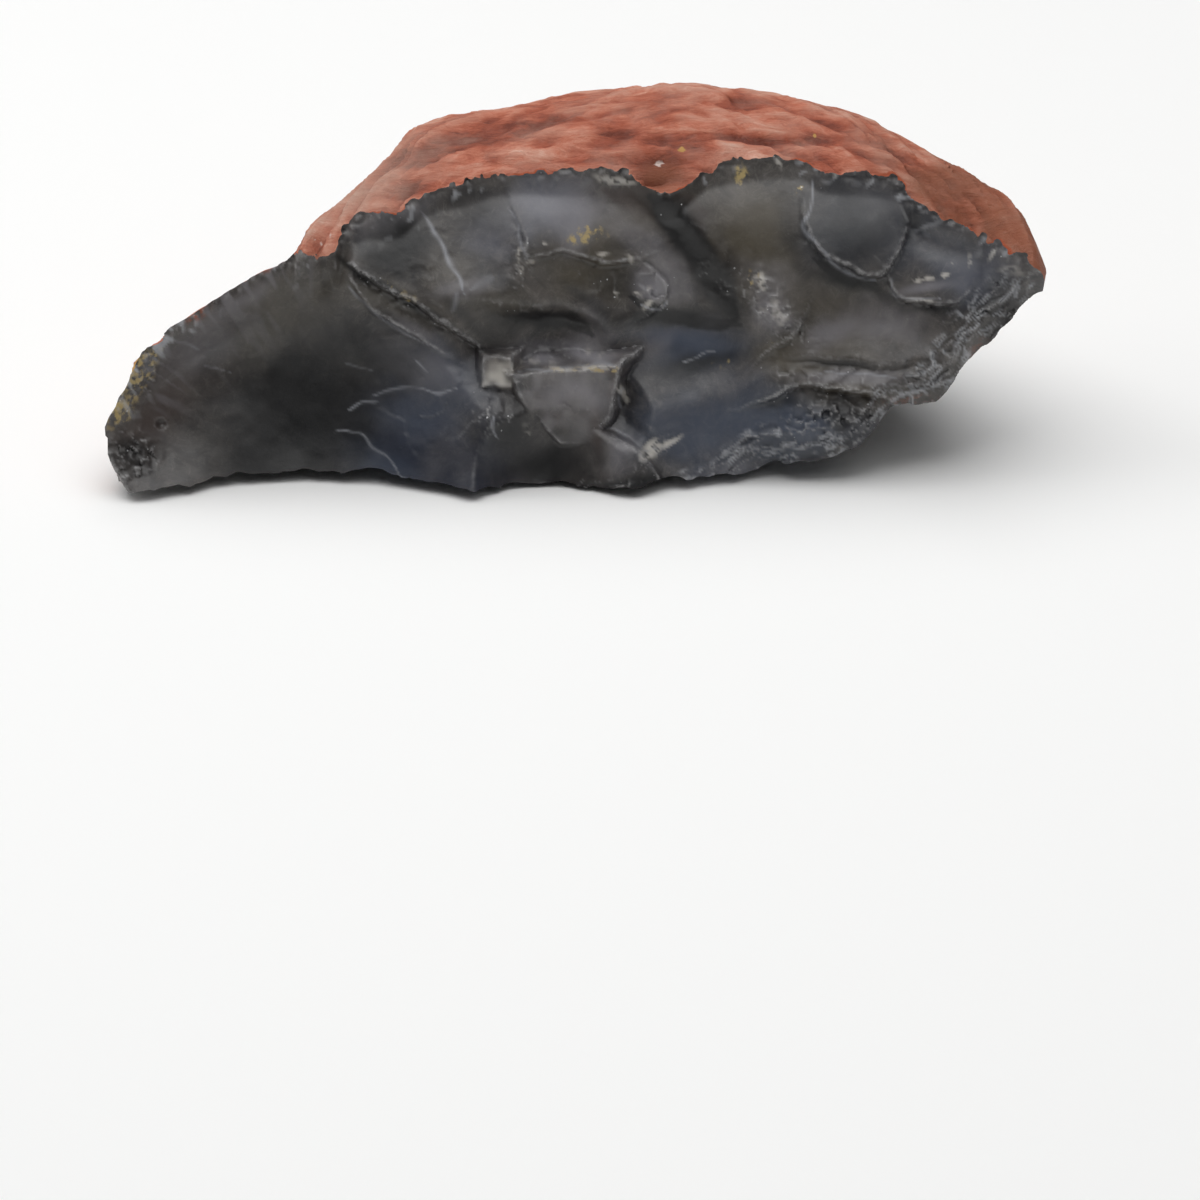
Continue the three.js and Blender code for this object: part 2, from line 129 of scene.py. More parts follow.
# The underside's height along the front edge, further in, and how it climbs backwards.
UNDER_FRONT = [
    (-57, 1.2), (-50, 0.4), (-43, 0.2), (-37, 0), (-34, -0.8), (10, -0.8), (13.8, 0.6), (17.6, 0.8),
    (21.8, 0.9), (26, 2), (30.6, 2.9), (35.2, 5), (37.8, 8.2), (43.2, 8.2), (46.2, 10.2), (49.6, 14.4),
    (53.4, 17.5), (57, 24),
]
UNDER_DEEP = [
    (-57, 4), (-40, 1), (-20, -0.8), (6, -0.8), (14, 0.3), (24, 1.8), (40, 6.8), (48, 12.6), (52, 16.6),
    (57, 22),
]
UNDER_RISE = [(-57, 0.1), (-38, 0.05), (10, 0), (24, 0.1), (57, 0.12)]
DEEP_FROM = 3  # from here to there the underside goes over to its height further in
DEEP_TO = 15
SPOT = (4, 25)  # the flat spot's middle, and its half lengths
SPOT_HALF = (18, 13)
SPOT_RISE = 0.5  # how fast the underside lifts off around the spot
SPOT_LIFT = 1.6  # and how far
BACK_BREAK_FROM = 36  # the last stretch climbs to the rind at the back
BACK_BREAK_SLOPE = 0.5

# How finely the meshes are drawn, in millimetres.
FACE_STEP = 0.25
UNDER_STEP = 0.7
RIND_STEP = 0.46
RIND_TURNS = 320  # points round the nodule
HEART = (4, 17, 16)  # the rind's relief stands away from this point: u, s and depth

# Places where the face is chipped: u, s, half length, half width, turn in degrees, the chips' size and depth.
CHIPPED = [
    (-6.4, 28.8, 1.6, 3.4, 0, 0.7, 0.3), (4.6, 27, 5.4, 2.6, -12, 1.7, 0.3),
    (9.4, 26, 2.6, 2.8, 0, 1.9, 0.4), (23.2, 24.4, 5.8, 2.2, -52, 1, 0.5),
    (27, 20, 2.8, 1.4, 0, 0.9, 0.35), (9.6, 6.2, 3.6, 1, 42, 0.6, 0.35),
    (5.6, 12.4, 1.2, 3, 12, 0.8, 0.25), (51.4, 28.6, 3.8, 1.8, -20, 1.1, 0.4),
    (42, 33.2, 1.6, 2.4, 0, 0.8, 0.2), (31, 10.4, 6.4, 2.4, 5, 1.1, 0.7),
    (-1.6, 18.2, 3, 0.9, -4, 0.6, 0.3), (-9.6, 11.2, 2.6, 2.4, 0, 1.2, 0.4),
    (-51.8, 15.4, 7, 1.7, 58, 0.7, 0.5), (-53.4, 6, 3.6, 2.8, 0, 0.9, 0.6),
    (26.4, 38.4, 3, 1.6, -20, 0.8, 0.35), (-22, 24.8, 6, 1.1, -32, 0.9, 0.22),
    (3, 1.4, 9, 1.4, 0, 0.8, 0.6), (0, 13, 4.6, 3.2, 0, 2.2, 0.22), (13, 36.4, 4, 3, -40, 2, 0.25),
    (30, 15, 8, 1.6, -3, 1.4, 0.35),
]
SPARKLING_FROM = 0.24  # patches with chips deeper than this sparkle

# Healed cracks, seen as thin pale lines: the points, the half width and the strength.
CRACKS = [
    ([(-27.5, 11.5), (-25.6, 12.4), (-23.6, 12.6)], 0.2, 0.65),
    ([(-24.6, 13.3), (-22, 14), (-19, 14.2), (-16.7, 13.4), (-14, 14.2)], 0.3, 0.65),
    ([
        (-29.3, 8.8), (-28.3, 9.2), (-26, 8.6), (-24.7, 7.2), (-22.4, 5.8), (-20.9, 3.7), (-19.2, 3.1),
    ], 0.18, 0.55),
    ([(-9.6, 11.3), (-9.7, 9.2), (-9.1, 8)], 0.22, 0.8),
    ([(-27.7, 17), (-23.8, 16.3)], 0.22, 0.3),
    ([(-19.1, 17.3), (-17.6, 16.1)], 0.2, 0.6),
    ([(-27.4, 26.5), (-25.1, 23.9), (-21.8, 21.6), (-17.6, 19.1)], 0.25, 0.6),
    ([(-18.6, 35.3), (-16.3, 31.7), (-15.4, 29.4), (-14, 27.1), (-13.1, 25.3)], 0.45, 0.75),
    ([(-14, 25.6), (-14.6, 22.9)], 0.35, 0.4),
    ([(-12.4, 25.9), (-10.4, 26.9), (-9.5, 27.1)], 0.7, 0.3),
    ([(-8.4, 36), (-7, 33.6), (-6.6, 31.3), (-5.4, 29.2)], 0.22, 0.5),
    ([(12.8, 17.3), (15, 18.1), (16.9, 18.6)], 0.3, 0.8),
    ([(5.9, 14.2), (5.2, 12.8), (5.7, 11.6)], 0.2, 1),
    ([
        (28.4, 39.5), (28.3, 36), (27.5, 33.7), (28.3, 31.7), (30.6, 29.3), (33.5, 27.6), (35.9, 27),
    ], 0.25, 0.85),
    ([(38.2, 27.6), (38.5, 25), (43.7, 24.7)], 0.24, 0.7),
    ([(7.8, 24.2), (10, 23.5), (11.2, 24.6)], 0.25, 0.9),
    ([(3, 9.8), (6.7, 8), (8.8, 6.4), (12.8, 8)], 0.22, 0.5),
    ([(-7.2, 15.8), (-1.7, 16.4), (3, 17), (5.2, 16.1)], 0.3, 0.45),
    ([(27.7, 15.6), (33, 15.9), (38.8, 15.2)], 0.2, 0.6),
    ([(-48.8, 20), (-44.9, 18.4)], 0.2, 0.35), ([(-44.6, 16.8), (-41.4, 16.1)], 0.18, 0.3),
]
# Clouds and flecks in the stone, kind by kind: u, s, half length, half width, turn in degrees, strength.
CLOUDS = {
    "navy": [
        (-22, 7, 9, 7, 0, 1), (-11, 4, 6, 5, 0, 0.8), (14, 17.4, 7, 2, 8, 0.8), (-16, 1.6, 8, 3, 0, 0.8),
    ],
    "slate": [
        (-15.4, 15.6, 6, 3, -25, 0.6), (-19, 11.4, 7, 3.4, -12, 0.6), (14, 20, 7, 1.7, 0, 0.9),
        (-24, 5, 5, 2.4, -30, 0.5), (16, 10, 11, 5, 10, 0.8), (18, 3.6, 5, 2.4, 12, 0.8),
        (27, 9, 8, 3.4, 5, 0.9), (15, 17.6, 5, 1.6, 5, 0.6), (-3.6, 36, 4, 4, 0, 0.6),
        (44, 30, 9, 4, -25, 0.4), (33, 33.4, 6, 6, 0, 0.5), (-10, 30.5, 3.6, 6, 0, 0.4),
        (48, 27, 4, 3, 0, 0.5),
    ],
    "olive": [
        (-35, 22.5, 9, 4, 30, 0.7), (-22, 24.4, 6, 1.6, -32, 0.9), (2, 28, 5.4, 3.4, -15, 0.9),
        (10.5, 36, 4, 3, 0, 0.9), (21, 32, 6, 6.5, -30, 1), (26.6, 17.6, 5, 3, 0, 0.8),
        (34, 20, 6, 3, 0, 0.6), (-9, 24, 3.6, 2, 0, 0.6), (33, 13.6, 6, 2.4, 0, 0.8),
        (4, 33, 5, 3, 0, 0.6), (23, 26, 5, 3, -30, 0.6), (-13, 26, 6, 5, 0, 0.4),
        (31, 24, 8, 4, -20, 0.5),
    ],
    "brown": [
        (14.2, 31.4, 9, 3, -56, 0.5), (-51, 11, 8, 3.4, 60, 1), (-46, 14, 6, 4, 45, 0.4),
        (-42, 24, 6, 1.6, 35, 0.5), (2.4, 9.4, 0.6, 4.4, 4, 1), (4.8, 15, 0.6, 2.6, -8, 0.9),
        (4, 16.3, 1.8, 0.5, 0, 0.9), (-2, 3.4, 5, 3.4, 0, 0.6), (36, 11, 4, 1.6, 0, 0.5),
        (10, 35, 3, 2, 0, 0.5), (0, 11, 5, 4, 0, 0.4),
    ],
    "milk_and_highlight": [
        (-19.6, 17, 5, 2, -32, 0.55), (-22.4, 18.2, 2.2, 1.8, 0, 0.55), (-22.6, 24.8, 6, 1.1, -32, 0.1),
        (18.6, 3.8, 4, 1.4, 14, 0.5), (0.4, 34.8, 3, 4, -20, 0.7), (-4, 36, 3.4, 3, 0, 0.45),
        (0.4, 13.8, 4.4, 2.6, 0, 0.7), (5.4, 5.8, 2, 3, -30, 0.35), (30.6, 20.6, 3.6, 1.6, 35, 0.6),
        # these two are a painted highlight along the tooth's top edge, over the shade of its wall
        (1.8, 18.3, 3.4, 1, -6, 0.85), (-4.4, 17.5, 2.6, 0.8, -6, 0.75),
        (-13.6, 25.6, 3.4, 1.2, 10, 0.4), (2, 20, 2.4, 1.2, 0, 0.4), (33, 15.3, 6.4, 0.9, -2, 0.6),
        (-16.4, 15.6, 3.6, 1.6, -10, 0.2), (16.4, 22.2, 1.8, 0.8, 0, 0.4),
        (10.4, 19.4, 2.4, 1.4, 40, 0.3), (42, 26, 3.2, 0.6, 8, 0.7), (37, 21.6, 5, 3, 0, 0.5),
        (-19, 20.6, 3, 1, -35, 0.45), (-10, 31.6, 3, 3, 0, 0.35), (48, 27.4, 3, 2, 0, 0.25),
        (23, 27.4, 4, 2, -20, 0.35), (12, 27.6, 2.4, 3.4, 25, 0.35), (7.6, 31.8, 5, 1.6, -38, 0.35),
        (-45, 18.6, 5, 2.2, 35, 0.35), (-40, 24.6, 5, 1, 32, 0.3), (-22, 34.6, 4, 1.8, 20, 0.55),
        (36, 36.6, 3, 2, 0, 0.25), (3, 22.4, 3, 1.2, -50, 0.3), (-5, 19, 4, 0.9, 0, 0.3),
        (9.4, 26.3, 1.8, 2.2, 15, 0.8), (24, 23.4, 2, 2.8, 30, 0.6),
    ],
    # Smoke is the stone's dark smoky clouds, and also painted shadow under steps and flake rims and painted
    # shade deep in the left lobe.
    "smoke_and_shadow": [
        (-33, 13, 9.5, 7.6, 25, 1), (-31, 12, 9, 6, 35, 0.8), (-24, 18.6, 8, 3, -30, 0.8),
        (-36, 6, 10, 8, 0, 0.95), (-22.4, 25.8, 11, 0.6, -32, 0.9), (-4.6, 22.4, 6.6, 1.1, -4, 0.9),
        (14.2, 31.4, 9.6, 2.8, -56, 0.95), (18.6, 23.5, 3.6, 1.5, -75, 0.6), (12, 22.6, 8, 1.4, 2, 0.9),
        (6.2, 11.4, 1.4, 2.8, 15, 0.35), (-3.6, 4.4, 5.4, 4.4, 0, 1), (-1, 6, 3.6, 3, 0, 0.8),
        (-21.4, 30.4, 3.6, 2.8, 0, 0.55), (33.4, 33.4, 5.6, 5.4, 0, 0.35), (-8.6, 9.6, 2, 2.4, 0, 0.5),
        (14.6, 17, 4.6, 1, 12, 0.5), (14.4, 16.8, 5, 1.3, 14, 0.85), (-8.4, 9.4, 3, 3.4, -30, 0.85),
        (33, 26.6, 5, 0.8, -18, 0.9), (42.6, 23.6, 3.2, 0.7, 0, 0.7), (32.4, 10.6, 4, 1.8, 0, 0.8),
        (24.4, 12.2, 2.6, 0.8, 0, 0.7), (40.6, 33.8, 1.4, 2, 0, 0.7), (4.6, 26.4, 3, 1.4, 0, 0.5),
        (8.4, 2, 4.6, 1.4, 5, 1), (3, 1.2, 7, 1.6, 0, 1), (-53.4, 5.6, 3.4, 2.6, 0, 0.8),
        (32.2, 16.9, 4.4, 0.45, -4, 0.8), (49.6, 23.4, 3, 1, 20, 0.6), (26, 31.5, 1, 5, 20, 0.3),
        (-12.6, 21.8, 4, 0.9, -40, 0.6), (10.6, 34.8, 3.6, 1.6, -30, 0.8), (-9, 21, 2, 2, 0, 0.5),
        (2.6, 1.6, 8, 1.2, 0, 0.9), (1.6, 24.6, 3.4, 0.7, -35, 0.6), (33.4, 33.4, 6, 5.8, 0, 0.8),
        (-11.6, 36, 4.4, 3.4, 0, 0.55), (-20.6, 24.2, 6, 1.2, -32, 0.4), (-21.2, 31, 4.6, 4, 0, 1),
    ],
    "chalk": [
        (9.3, 25.8, 1.5, 1.8, 15, 0.35), (-6.6, 30, 0.35, 0.8, 0, 0.7), (-5.2, 29, 0.6, 0.3, 0, 0.7),
        (-3.8, 31.2, 0.5, 0.25, 0, 0.6), (3.4, 30, 0.6, 0.3, 20, 0.6), (6.8, 29.2, 0.35, 0.7, 0, 0.6),
        (5, 25.4, 0.35, 0.35, 0, 0.9), (7.4, 25.4, 0.35, 0.35, 0, 0.9), (8.8, 24.1, 0.4, 0.9, -30, 0.8),
        (10.8, 24.2, 0.25, 0.9, -35, 0.9), (6.2, 13, 0.4, 1, 10, 0.8), (24, 23.4, 1.6, 2.6, 30, 0.4),
        (22.4, 26.6, 0.5, 1, 20, 0.8), (21.8, 27.4, 1, 0.5, 30, 0.6), (9.4, 6.4, 1.7, 0.9, 50, 1),
        (11.2, 7.4, 2, 0.35, 33, 0.9), (2.6, 16.5, 3, 0.45, 2, 0.5), (-2, 16.2, 3, 0.4, 3, 0.4),
        (52.4, 28, 1.8, 0.7, 0, 0.5), (4.6, 30, 3.6, 0.4, -5, 0.3), (-6.4, 28.2, 0.5, 0.8, 0, 0.6),
        (-5, 17.3, 2.6, 0.7, -8, 0.4), (2.2, 18.6, 2.8, 0.7, -10, 0.35), (-6, 9.2, 1, 1, 0, 0.35),
        (42.2, 27.1, 1.3, 0.3, 4, 0.8), (44.4, 27.5, 0.8, 0.35, 30, 0.8),
        (45.4, 28.8, 0.5, 0.25, 40, 0.7), (41, 26.8, 0.5, 0.25, -20, 0.7),
        (41.6, 24.5, 2.2, 0.22, -6, 0.7), (47.4, 29.4, 0.25, 1.2, 0, 0.5), (50, 30, 0.25, 1, -30, 0.6),
        (31.2, 39.7, 0.3, 0.8, 0, 0.5), (5.4, 14, 0.4, 0.9, 20, 0.8), (5, 39.1, 2.8, 0.55, -8, 0.6),
        (24.4, 41, 0.4, 1.1, 20, 0.6), (-30.2, 32.2, 0.3, 1.7, -14, 1),
        (-29.2, 32.6, 0.25, 1.6, -14, 0.9), (-31.2, 31.6, 0.3, 1.3, -14, 0.9),
        (10.2, 40.9, 1.1, 0.5, -8, 0.9), (-20.6, 40.2, 0.2, 0.5, 0, 0.8),
    ],
    "gold": [
        (1, 16.3, 3.8, 0.35, 3, 0.7), (12.9, 42.7, 0.7, 0.4, 0, 1), (28.8, 44.3, 0.35, 0.25, 0, 0.9),
        (-53, 15.2, 5, 1.4, 60, 1), (-54.3, 12, 3.4, 1.2, 66, 1), (-52, 17, 2, 1.2, 55, 1),
        (1.6, 32.6, 2.8, 1.1, 0, 1), (3, 16.5, 2.4, 0.4, -4, 1), (-1.6, 16.2, 2, 0.3, 4, 0.5),
        (19.8, 39.6, 1, 1.2, 0, 1), (27.2, 37.8, 0.7, 0.5, 40, 1), (-21, 25.6, 3.4, 0.7, -32, 0.5),
        (21.4, 27, 0.8, 2.6, 20, 0.6), (-4.6, 28.6, 1, 0.6, 0, 0.6), (18, 17, 2, 1, 30, 0.4),
        (24.4, 19.6, 1.4, 0.6, 30, 0.4),
    ],
    "rust": [
        (-36.6, 28.5, 1.4, 0.6, 30, 1), (-45.4, 22.8, 1.6, 0.6, 35, 1), (40, 12.6, 3, 0.5, 0, 0.5),
        (48.4, 18.4, 0.8, 1.8, -30, 0.5), (0.8, 1, 1.6, 0.8, 0, 0.6),
    ],
}
# Dark bands with crisp sides along folds of the fracture: kind, the points, half width and strength. The
# smoky bands are painted shadow below the folds' steps.
BANDS = [
    ("smoke_and_shadow", [(8.8, 37), (11.4, 34.4), (14.9, 30.6), (17.2, 26.6), (19.4, 22.4)], 1.8, 0.8),
    ("brown", [(4, 38), (8, 36.4), (13, 35.6), (15, 33)], 1.8, 0.7),
    ("smoke_and_shadow", [(7, 25.4), (10.4, 23), (15, 21.9), (20, 21.6)], 0.8, 0.8),
    ("smoke_and_shadow", [(-8, 22.6), (-4, 22.6), (0, 21.8), (2.4, 20.6)], 0.9, 0.6),
    ("smoke_and_shadow", [(28.8, 30), (32, 27.4), (36, 26.4)], 0.6, 0.7),
]
# Hollows in the rind as seen from the front: u, s, half length, half width, turn in degrees and depth.
RIND_HOLLOWS = [
    (-11.7, 45.2, 6, 1.2, 12, 0.8), (-19.9, 42, 4.4, 1.2, 16, 0.7), (-20.9, 37.6, 2.8, 0.8, 16, 0.5),
    (-9.6, 41.4, 1.4, 0.6, 8, 0.4), (-4.3, 43.6, 1.8, 0.5, 5, 0.4), (-2.6, 47.4, 2.4, 0.5, 5, 0.4),
    (4.4, 44.4, 2.8, 1.6, 20, 0.5), (10.8, 40.8, 3, 2.4, 0, 0.5), (19.8, 48.6, 2, 0.8, -8, 0.6),
    (22, 44.2, 9, 0.55, -2, 0.8), (29.4, 44.2, 2, 0.9, -15, 0.5), (37, 41.4, 5, 0.5, -24, 0.5),
    (36, 43.8, 6, 0.5, -25, 0.5), (41, 41.6, 5, 0.45, -32, 0.5), (46.6, 38, 4, 0.4, -38, 0.5),
    (31, 46.4, 5, 0.5, -14, 0.4), (50, 34.8, 3, 0.4, -42, 0.4), (44, 38.4, 5, 0.5, -30, 0.5),
    (47, 34.6, 4, 1.2, -30, 0.4), (6, 41.6, 3, 0.5, 0, 0.3),
]


# Curves, noise and random chips. The last value given to a noise is its layer, so that no two look alike.


def profile(points):
    """A smooth curve through points (x, y), read as y at x."""
    x, y = np.array(points, float).T
    last = len(x) - 1
    before = np.maximum(np.arange(last + 1) - 1, 0)
    after = np.minimum(np.arange(last + 1) + 1, last)
    slopes = (y[after] - y[before]) / (x[after] - x[before])

    def read(at):
        at = np.clip(at, x[0], x[-1])
        i = np.clip(np.searchsorted(x, at, side="right") - 1, 0, last - 1)
        gap = x[i + 1] - x[i]
        t = (at - x[i]) / gap
        ease = t * t * (3 - 2 * t)
        bend = t * (1 - t) * gap
        return y[i] + (y[i + 1] - y[i]) * ease + bend * ((1 - t) * slopes[i] - t * slopes[i + 1])

    return read


skyline, rind_edge, rind_break = profile(SKYLINE), profile(RIND_EDGE), profile(RIND_BREAK)
waist, crest_depth, back_bulge = profile(WAIST), profile(CREST_DEPTH), profile(BACK_BULGE)
low_edge, under_front, under_deep = profile(LOW_EDGE), profile(UNDER_FRONT), profile(UNDER_DEEP)
under_rise = profile(UNDER_RISE)


def smoothstep(x, low, high):
    """0 up to low, 1 from high on, and a soft rise between them."""
    t = np.clip((x - low) / (high - low), 0, 1)
    return t * t * (3 - 2 * t)


def lattice(i, j, k):
    """A repeatable random number from -1 to 1 for each point of a unit lattice."""
    wave = np.sin(i * 127.1 + j * 311.7 + k * 74.7) * 43758.5453
    return 2 * (wave - np.floor(wave)) - 1


def noise(x, y, z):
    """Smooth noise from -1 to 1, with features about one unit across."""
    x, y, z = np.broadcast_arrays(x, y, z)
    i, j, k = np.floor(x), np.floor(y), np.floor(z)
    a, b, c = (t * t * (3 - 2 * t) for t in (x - i, y - j, z - k))

    def row(dj, dk):
        left, right = lattice(i, j + dj, k + dk), lattice(i + 1, j + dj, k + dk)
        return left + (right - left) * a

    near = row(0, 0) + (row(1, 0) - row(0, 0)) * b
    far = row(0, 1) + (row(1, 1) - row(0, 1)) * b
    return near + (far - near) * c


def layered(x, y, z, layers=3):
    """Noise with finer and weaker noise on top."""
    return sum(noise(x * 2**n, y * 2**n, z + 17 * n) / 2**n for n in range(layers))


def spline(points, pieces=5):
    """The smooth curve through the points, as a chain of short straight pieces."""
    p = np.array(points, float)
    count = len(p) - 1
    out = []
    for t in np.linspace(0, count, pieces * count + 1):
        i = min(int(t), count - 1)
        w = t - i
        p0, p1, p2, p3 = p[max(i - 1, 0)], p[i], p[i + 1], p[min(i + 2, count)]
        v0, v1 = (p2 - p0) / 2, (p3 - p1) / 2
        out.append(p1 + v0 * w + (3 * (p2 - p1) - 2 * v0 - v1) * w**2 + (2 * (p1 - p2) + v0 + v1) * w**3)
    return np.array(out)


def beside(curve, u, s):
    """How far (u, s) lies from a curve, positive on its left, and the share of the curve before that."""
    distance = np.full(np.shape(u), np.inf)
    share = np.zeros(np.shape(u))
    for i in range(1, len(curve)):
        du, ds = curve[i] - curve[i - 1]
        pu, ps = u - curve[i - 1][0], s - curve[i - 1][1]
        part = np.clip((pu * du + ps * ds) / (du * du + ds * ds), 0, 1)
        off = np.hypot(pu - part * du, ps - part * ds)
        nearer = off < np.abs(distance)
        side = np.where(du * ps - ds * pu >= 0, 1.0, -1.0)
        distance = np.where(nearer, off * side, distance)
        share = np.where(nearer, (i - 1 + part) / (len(curve) - 1), share)
    return distance, share


def evenly(curve, step):
    """The curve with its points a step apart."""
    gaps = np.hypot(*np.diff(curve, axis=0).T)
    at = np.concatenate([[0], np.cumsum(gaps)])
    stations = np.arange(0, at[-1], step)
    return np.stack([np.interp(stations, at, curve[:, n]) for n in (0, 1)], 1)


def facets(x, y, layer):
    """Small tilted flats and bowls, about one unit across, with broken edges between them."""
    column, row = np.floor(x), np.floor(y)
    nearest = np.full(np.shape(x), np.inf)
    height = np.zeros(np.shape(x))
    for i, j in ((column + a, row + b) for a in (-1, 0, 1) for b in (-1, 0, 1)):
        dx = x - i - 0.5 - 0.45 * lattice(i, j, layer)
        dy = y - j - 0.5 - 0.45 * lattice(i, j, layer + 1)
        away = dx * dx + dy * dy
        tilt = dx * lattice(i, j, layer + 3) + dy * lattice(i, j, layer + 4)
        height = np.where(away < nearest, 0.45 * lattice(i, j, layer + 2) + 0.6 * tilt - 0.5 * away, height)
        nearest = np.minimum(nearest, away)
    return height


# The nodule and its rind.


def nodule_section(u):
    """The nodule's section at u: its middle level, its reach up and down, its crest's depth, and its reach
    forwards and back."""
    middle = waist(u)
    top = np.maximum(0.4, skyline(u) - middle)
    root = ROOT_BULGE * np.sqrt(np.clip(1 - (u / HALF_LENGTH) ** 2, 0, 1)) + 0.4
    crest = crest_depth(u)
    edge = np.minimum(0.98, (rind_edge(u) - middle) / top)
    front = np.maximum(FRONT_BULGE, (crest - EDGE_DEPTH) / np.sqrt(1 - edge**2))
    return middle, top, root, crest, front, back_bulge(u)


def rind_depth(u, s):
    """The depth of the rind's front at (u, s)."""
    middle, top, _, crest, front, _ = nodule_section(u)
    up = np.minimum(1, np.abs(s - middle) / top)
    return crest - front * np.sqrt(1 - up**2)


# The broken face, worked out once on an even grid.

grid_u = np.arange(-HALF_LENGTH - 3, HALF_LENGTH + 3.01, FACE_STEP)
grid_s = np.arange(-8, 56, FACE_STEP)
U, S = np.meshgrid(grid_u, grid_s)


def blur(values, cells):
    """The values with each point spread over its neighbours."""
    reach = int(math.ceil(3 * cells))
    kernel = np.exp(-0.5 * (np.arange(-reach, reach + 1) / cells) ** 2)
    kernel /= kernel.sum()
    for axis in (0, 1):
        padded = np.pad(values, [(reach, reach) if a == axis else (0, 0) for a in (0, 1)], mode="edge")
        count = values.shape[axis]
        values = sum(w * np.take(padded, np.arange(n, n + count), axis=axis) for n, w in enumerate(kernel))
    return values


def patch(u, s, long, wide, turn, pu=U, ps=S):
    """A soft oval: 1 in the middle, and 0 well outside its half length and half width."""
    c, k = math.cos(math.radians(turn)), math.sin(math.radians(turn))
    a, b = ((pu - u) * c + (ps - s) * k) / long, ((ps - s) * c - (pu - u) * k) / wide
    return np.exp(-((a * a + b * b) ** 1.3))


def scars():
    """The bowls of the fracture, run softly into each other, and where they are worn down."""
    depth = np.full(U.shape, -0.4)
    bent_u, bent_s = U + 1.5 * noise(U / 8, S / 8, 5), S + 1.5 * noise(U / 8, S / 8, 6)
    for u, s, deep, ru, rs in SCARS:
        bowl = deep - (bent_u - u) ** 2 / (2 * ru) - (bent_s - s) ** 2 / (2 * rs)
        depth = SCAR_JOIN * np.logaddexp(depth / SCAR_JOIN, bowl / SCAR_JOIN)
    worn_down = np.clip(sum(patch(*place) for place in WORN_DOWN), 0, 1)
    return depth + (blur(depth, 12) - depth) * worn_down, worn_down


def ledges(depth, bent_u, bent_s):
    """The face with its ledges, and how much each point is broken by one."""
    broken = np.zeros(U.shape)
    for line, rise, reach, width in LEDGES:
        curve = spline(line)
        distance, share = beside(curve, bent_u, bent_s)
        fade = LEDGE_ENDS * np.hypot(*np.diff(curve, axis=0).T).sum()
        strength = smoothstep(np.minimum(share, 1 - share), 0, LEDGE_TAPER)
        for end_u, end_s in line[0], line[-1]:
            strength = strength * smoothstep(np.hypot(U - end_u, S - end_s), 0, fade)
        strength = blur(strength * (0.8 + 0.35 * noise(U / 5, S / 5, 39)), 8)
        fall = np.exp(-((blur(np.abs(distance), 9) / reach) ** 2))
        depth = depth - rise * smoothstep(distance, -width / 3, width / 3) * fall * strength
        broken = np.maximum(broken, strength * np.exp(-((distance / 1.1) ** 2)))
    broken = broken * smoothstep(noise(U / 2.6, S / 2.6, 47), -0.1, 0.4)
    return depth + 0.28 * broken * facets(bent_u / 1.1, bent_s / 0.9, 49), broken


def blocks(depth, bent_u, bent_s):
    """The face with the blocks that stand out of it, and where each of them is."""
    inside = []
    for outline, high, at, fall, wall in BLOCKS:
        outside = np.zeros(U.shape)
        for (u0, s0), (u1, s1) in zip(outline, outline[1:] + outline[:1]):
            across = (bent_u - u0) * (s1 - s0) - (bent_s - s0) * (u1 - u0)
            outside = np.maximum(outside, across / math.hypot(u1 - u0, s1 - s0))
        depth = np.minimum(depth, high + fall * (at - bent_s) + wall * outside)
        inside.append(1 - smoothstep(outside + 0.3 * noise(U / 1.1, S / 1.1, 45), -0.3, 0.3))
    return depth, inside


def main_forms():
    """The main forms of the broken face, how broken its ledges are, and where its two blocks are."""
    depth, worn_down = scars()
    bent_u, bent_s = U + 0.5 * noise(U / 4, S / 4, 31), S + 0.5 * noise(U / 4, S / 4, 37)
    bent_u, bent_s = bent_u + 0.2 * noise(U / 1.5, S / 1.5, 33), bent_s + 0.2 * noise(U / 1.5, S / 1.5, 35)
    depth, broken = ledges(depth, bent_u, bent_s)
    depth, inside = blocks(depth, bent_u, bent_s)
    waves = 0.3 * noise(U / 8, S / 8, 3) + 0.12 * noise(U / 3.4, S / 3.4, 7)
    waves = waves + 0.03 * noise(U / 1.4, S / 1.4, 9)
    bent_u, bent_s = U + 0.9 * noise(U / 3, S / 3, 201), S + 0.9 * noise(U / 3, S / 3, 203)
    flats = 0.13 * facets(bent_u / 5, bent_s / 3.6, 205) + 0.07 * facets(bent_u / 2, bent_s / 1.5, 207)
    flats = flats * smoothstep(noise(U / 9, S / 9, 209), -0.5, 0.4) * smoothstep(U, -30, -22)
    return depth + waves + flats * (1 - worn_down), broken, inside


def chip(depth):
    """The face with its chipped patches."""
    for u, s, long, wide, turn, size, deep in CHIPPED:
        warp = 0.4 * size
        x = (U + warp * noise(U / size / 1.5, S / size / 1.5, 41)) / size
        y = (S + warp * noise(U / size / 1.5, S / size / 1.5, 43)) / size
        depth = depth + deep * patch(u, s, long, wide, turn) * facets(x, y, round(7 * u))
    return depth


def meet_the_rind(depth):
    """The face where it turns in behind the rind and curves up to the rind's edge."""
    edge = np.minimum(rind_break(U), skyline(U))
    steepness = (rind_edge(U + 1) - rind_edge(U - 1)) / 2
    rim = RIM_WIDTH * np.hypot(1, steepness)
    behind_rind = rind_depth(U, S) + 1.8 * smoothstep(edge - S, 0, 3.5)
    limited = RIND_JOIN * np.logaddexp(depth / RIND_JOIN, behind_rind / RIND_JOIN)
    depth = np.where(S < edge, limited, depth)
    return depth + (rind_depth(U, edge) - depth) * smoothstep(S, edge - rim, edge)


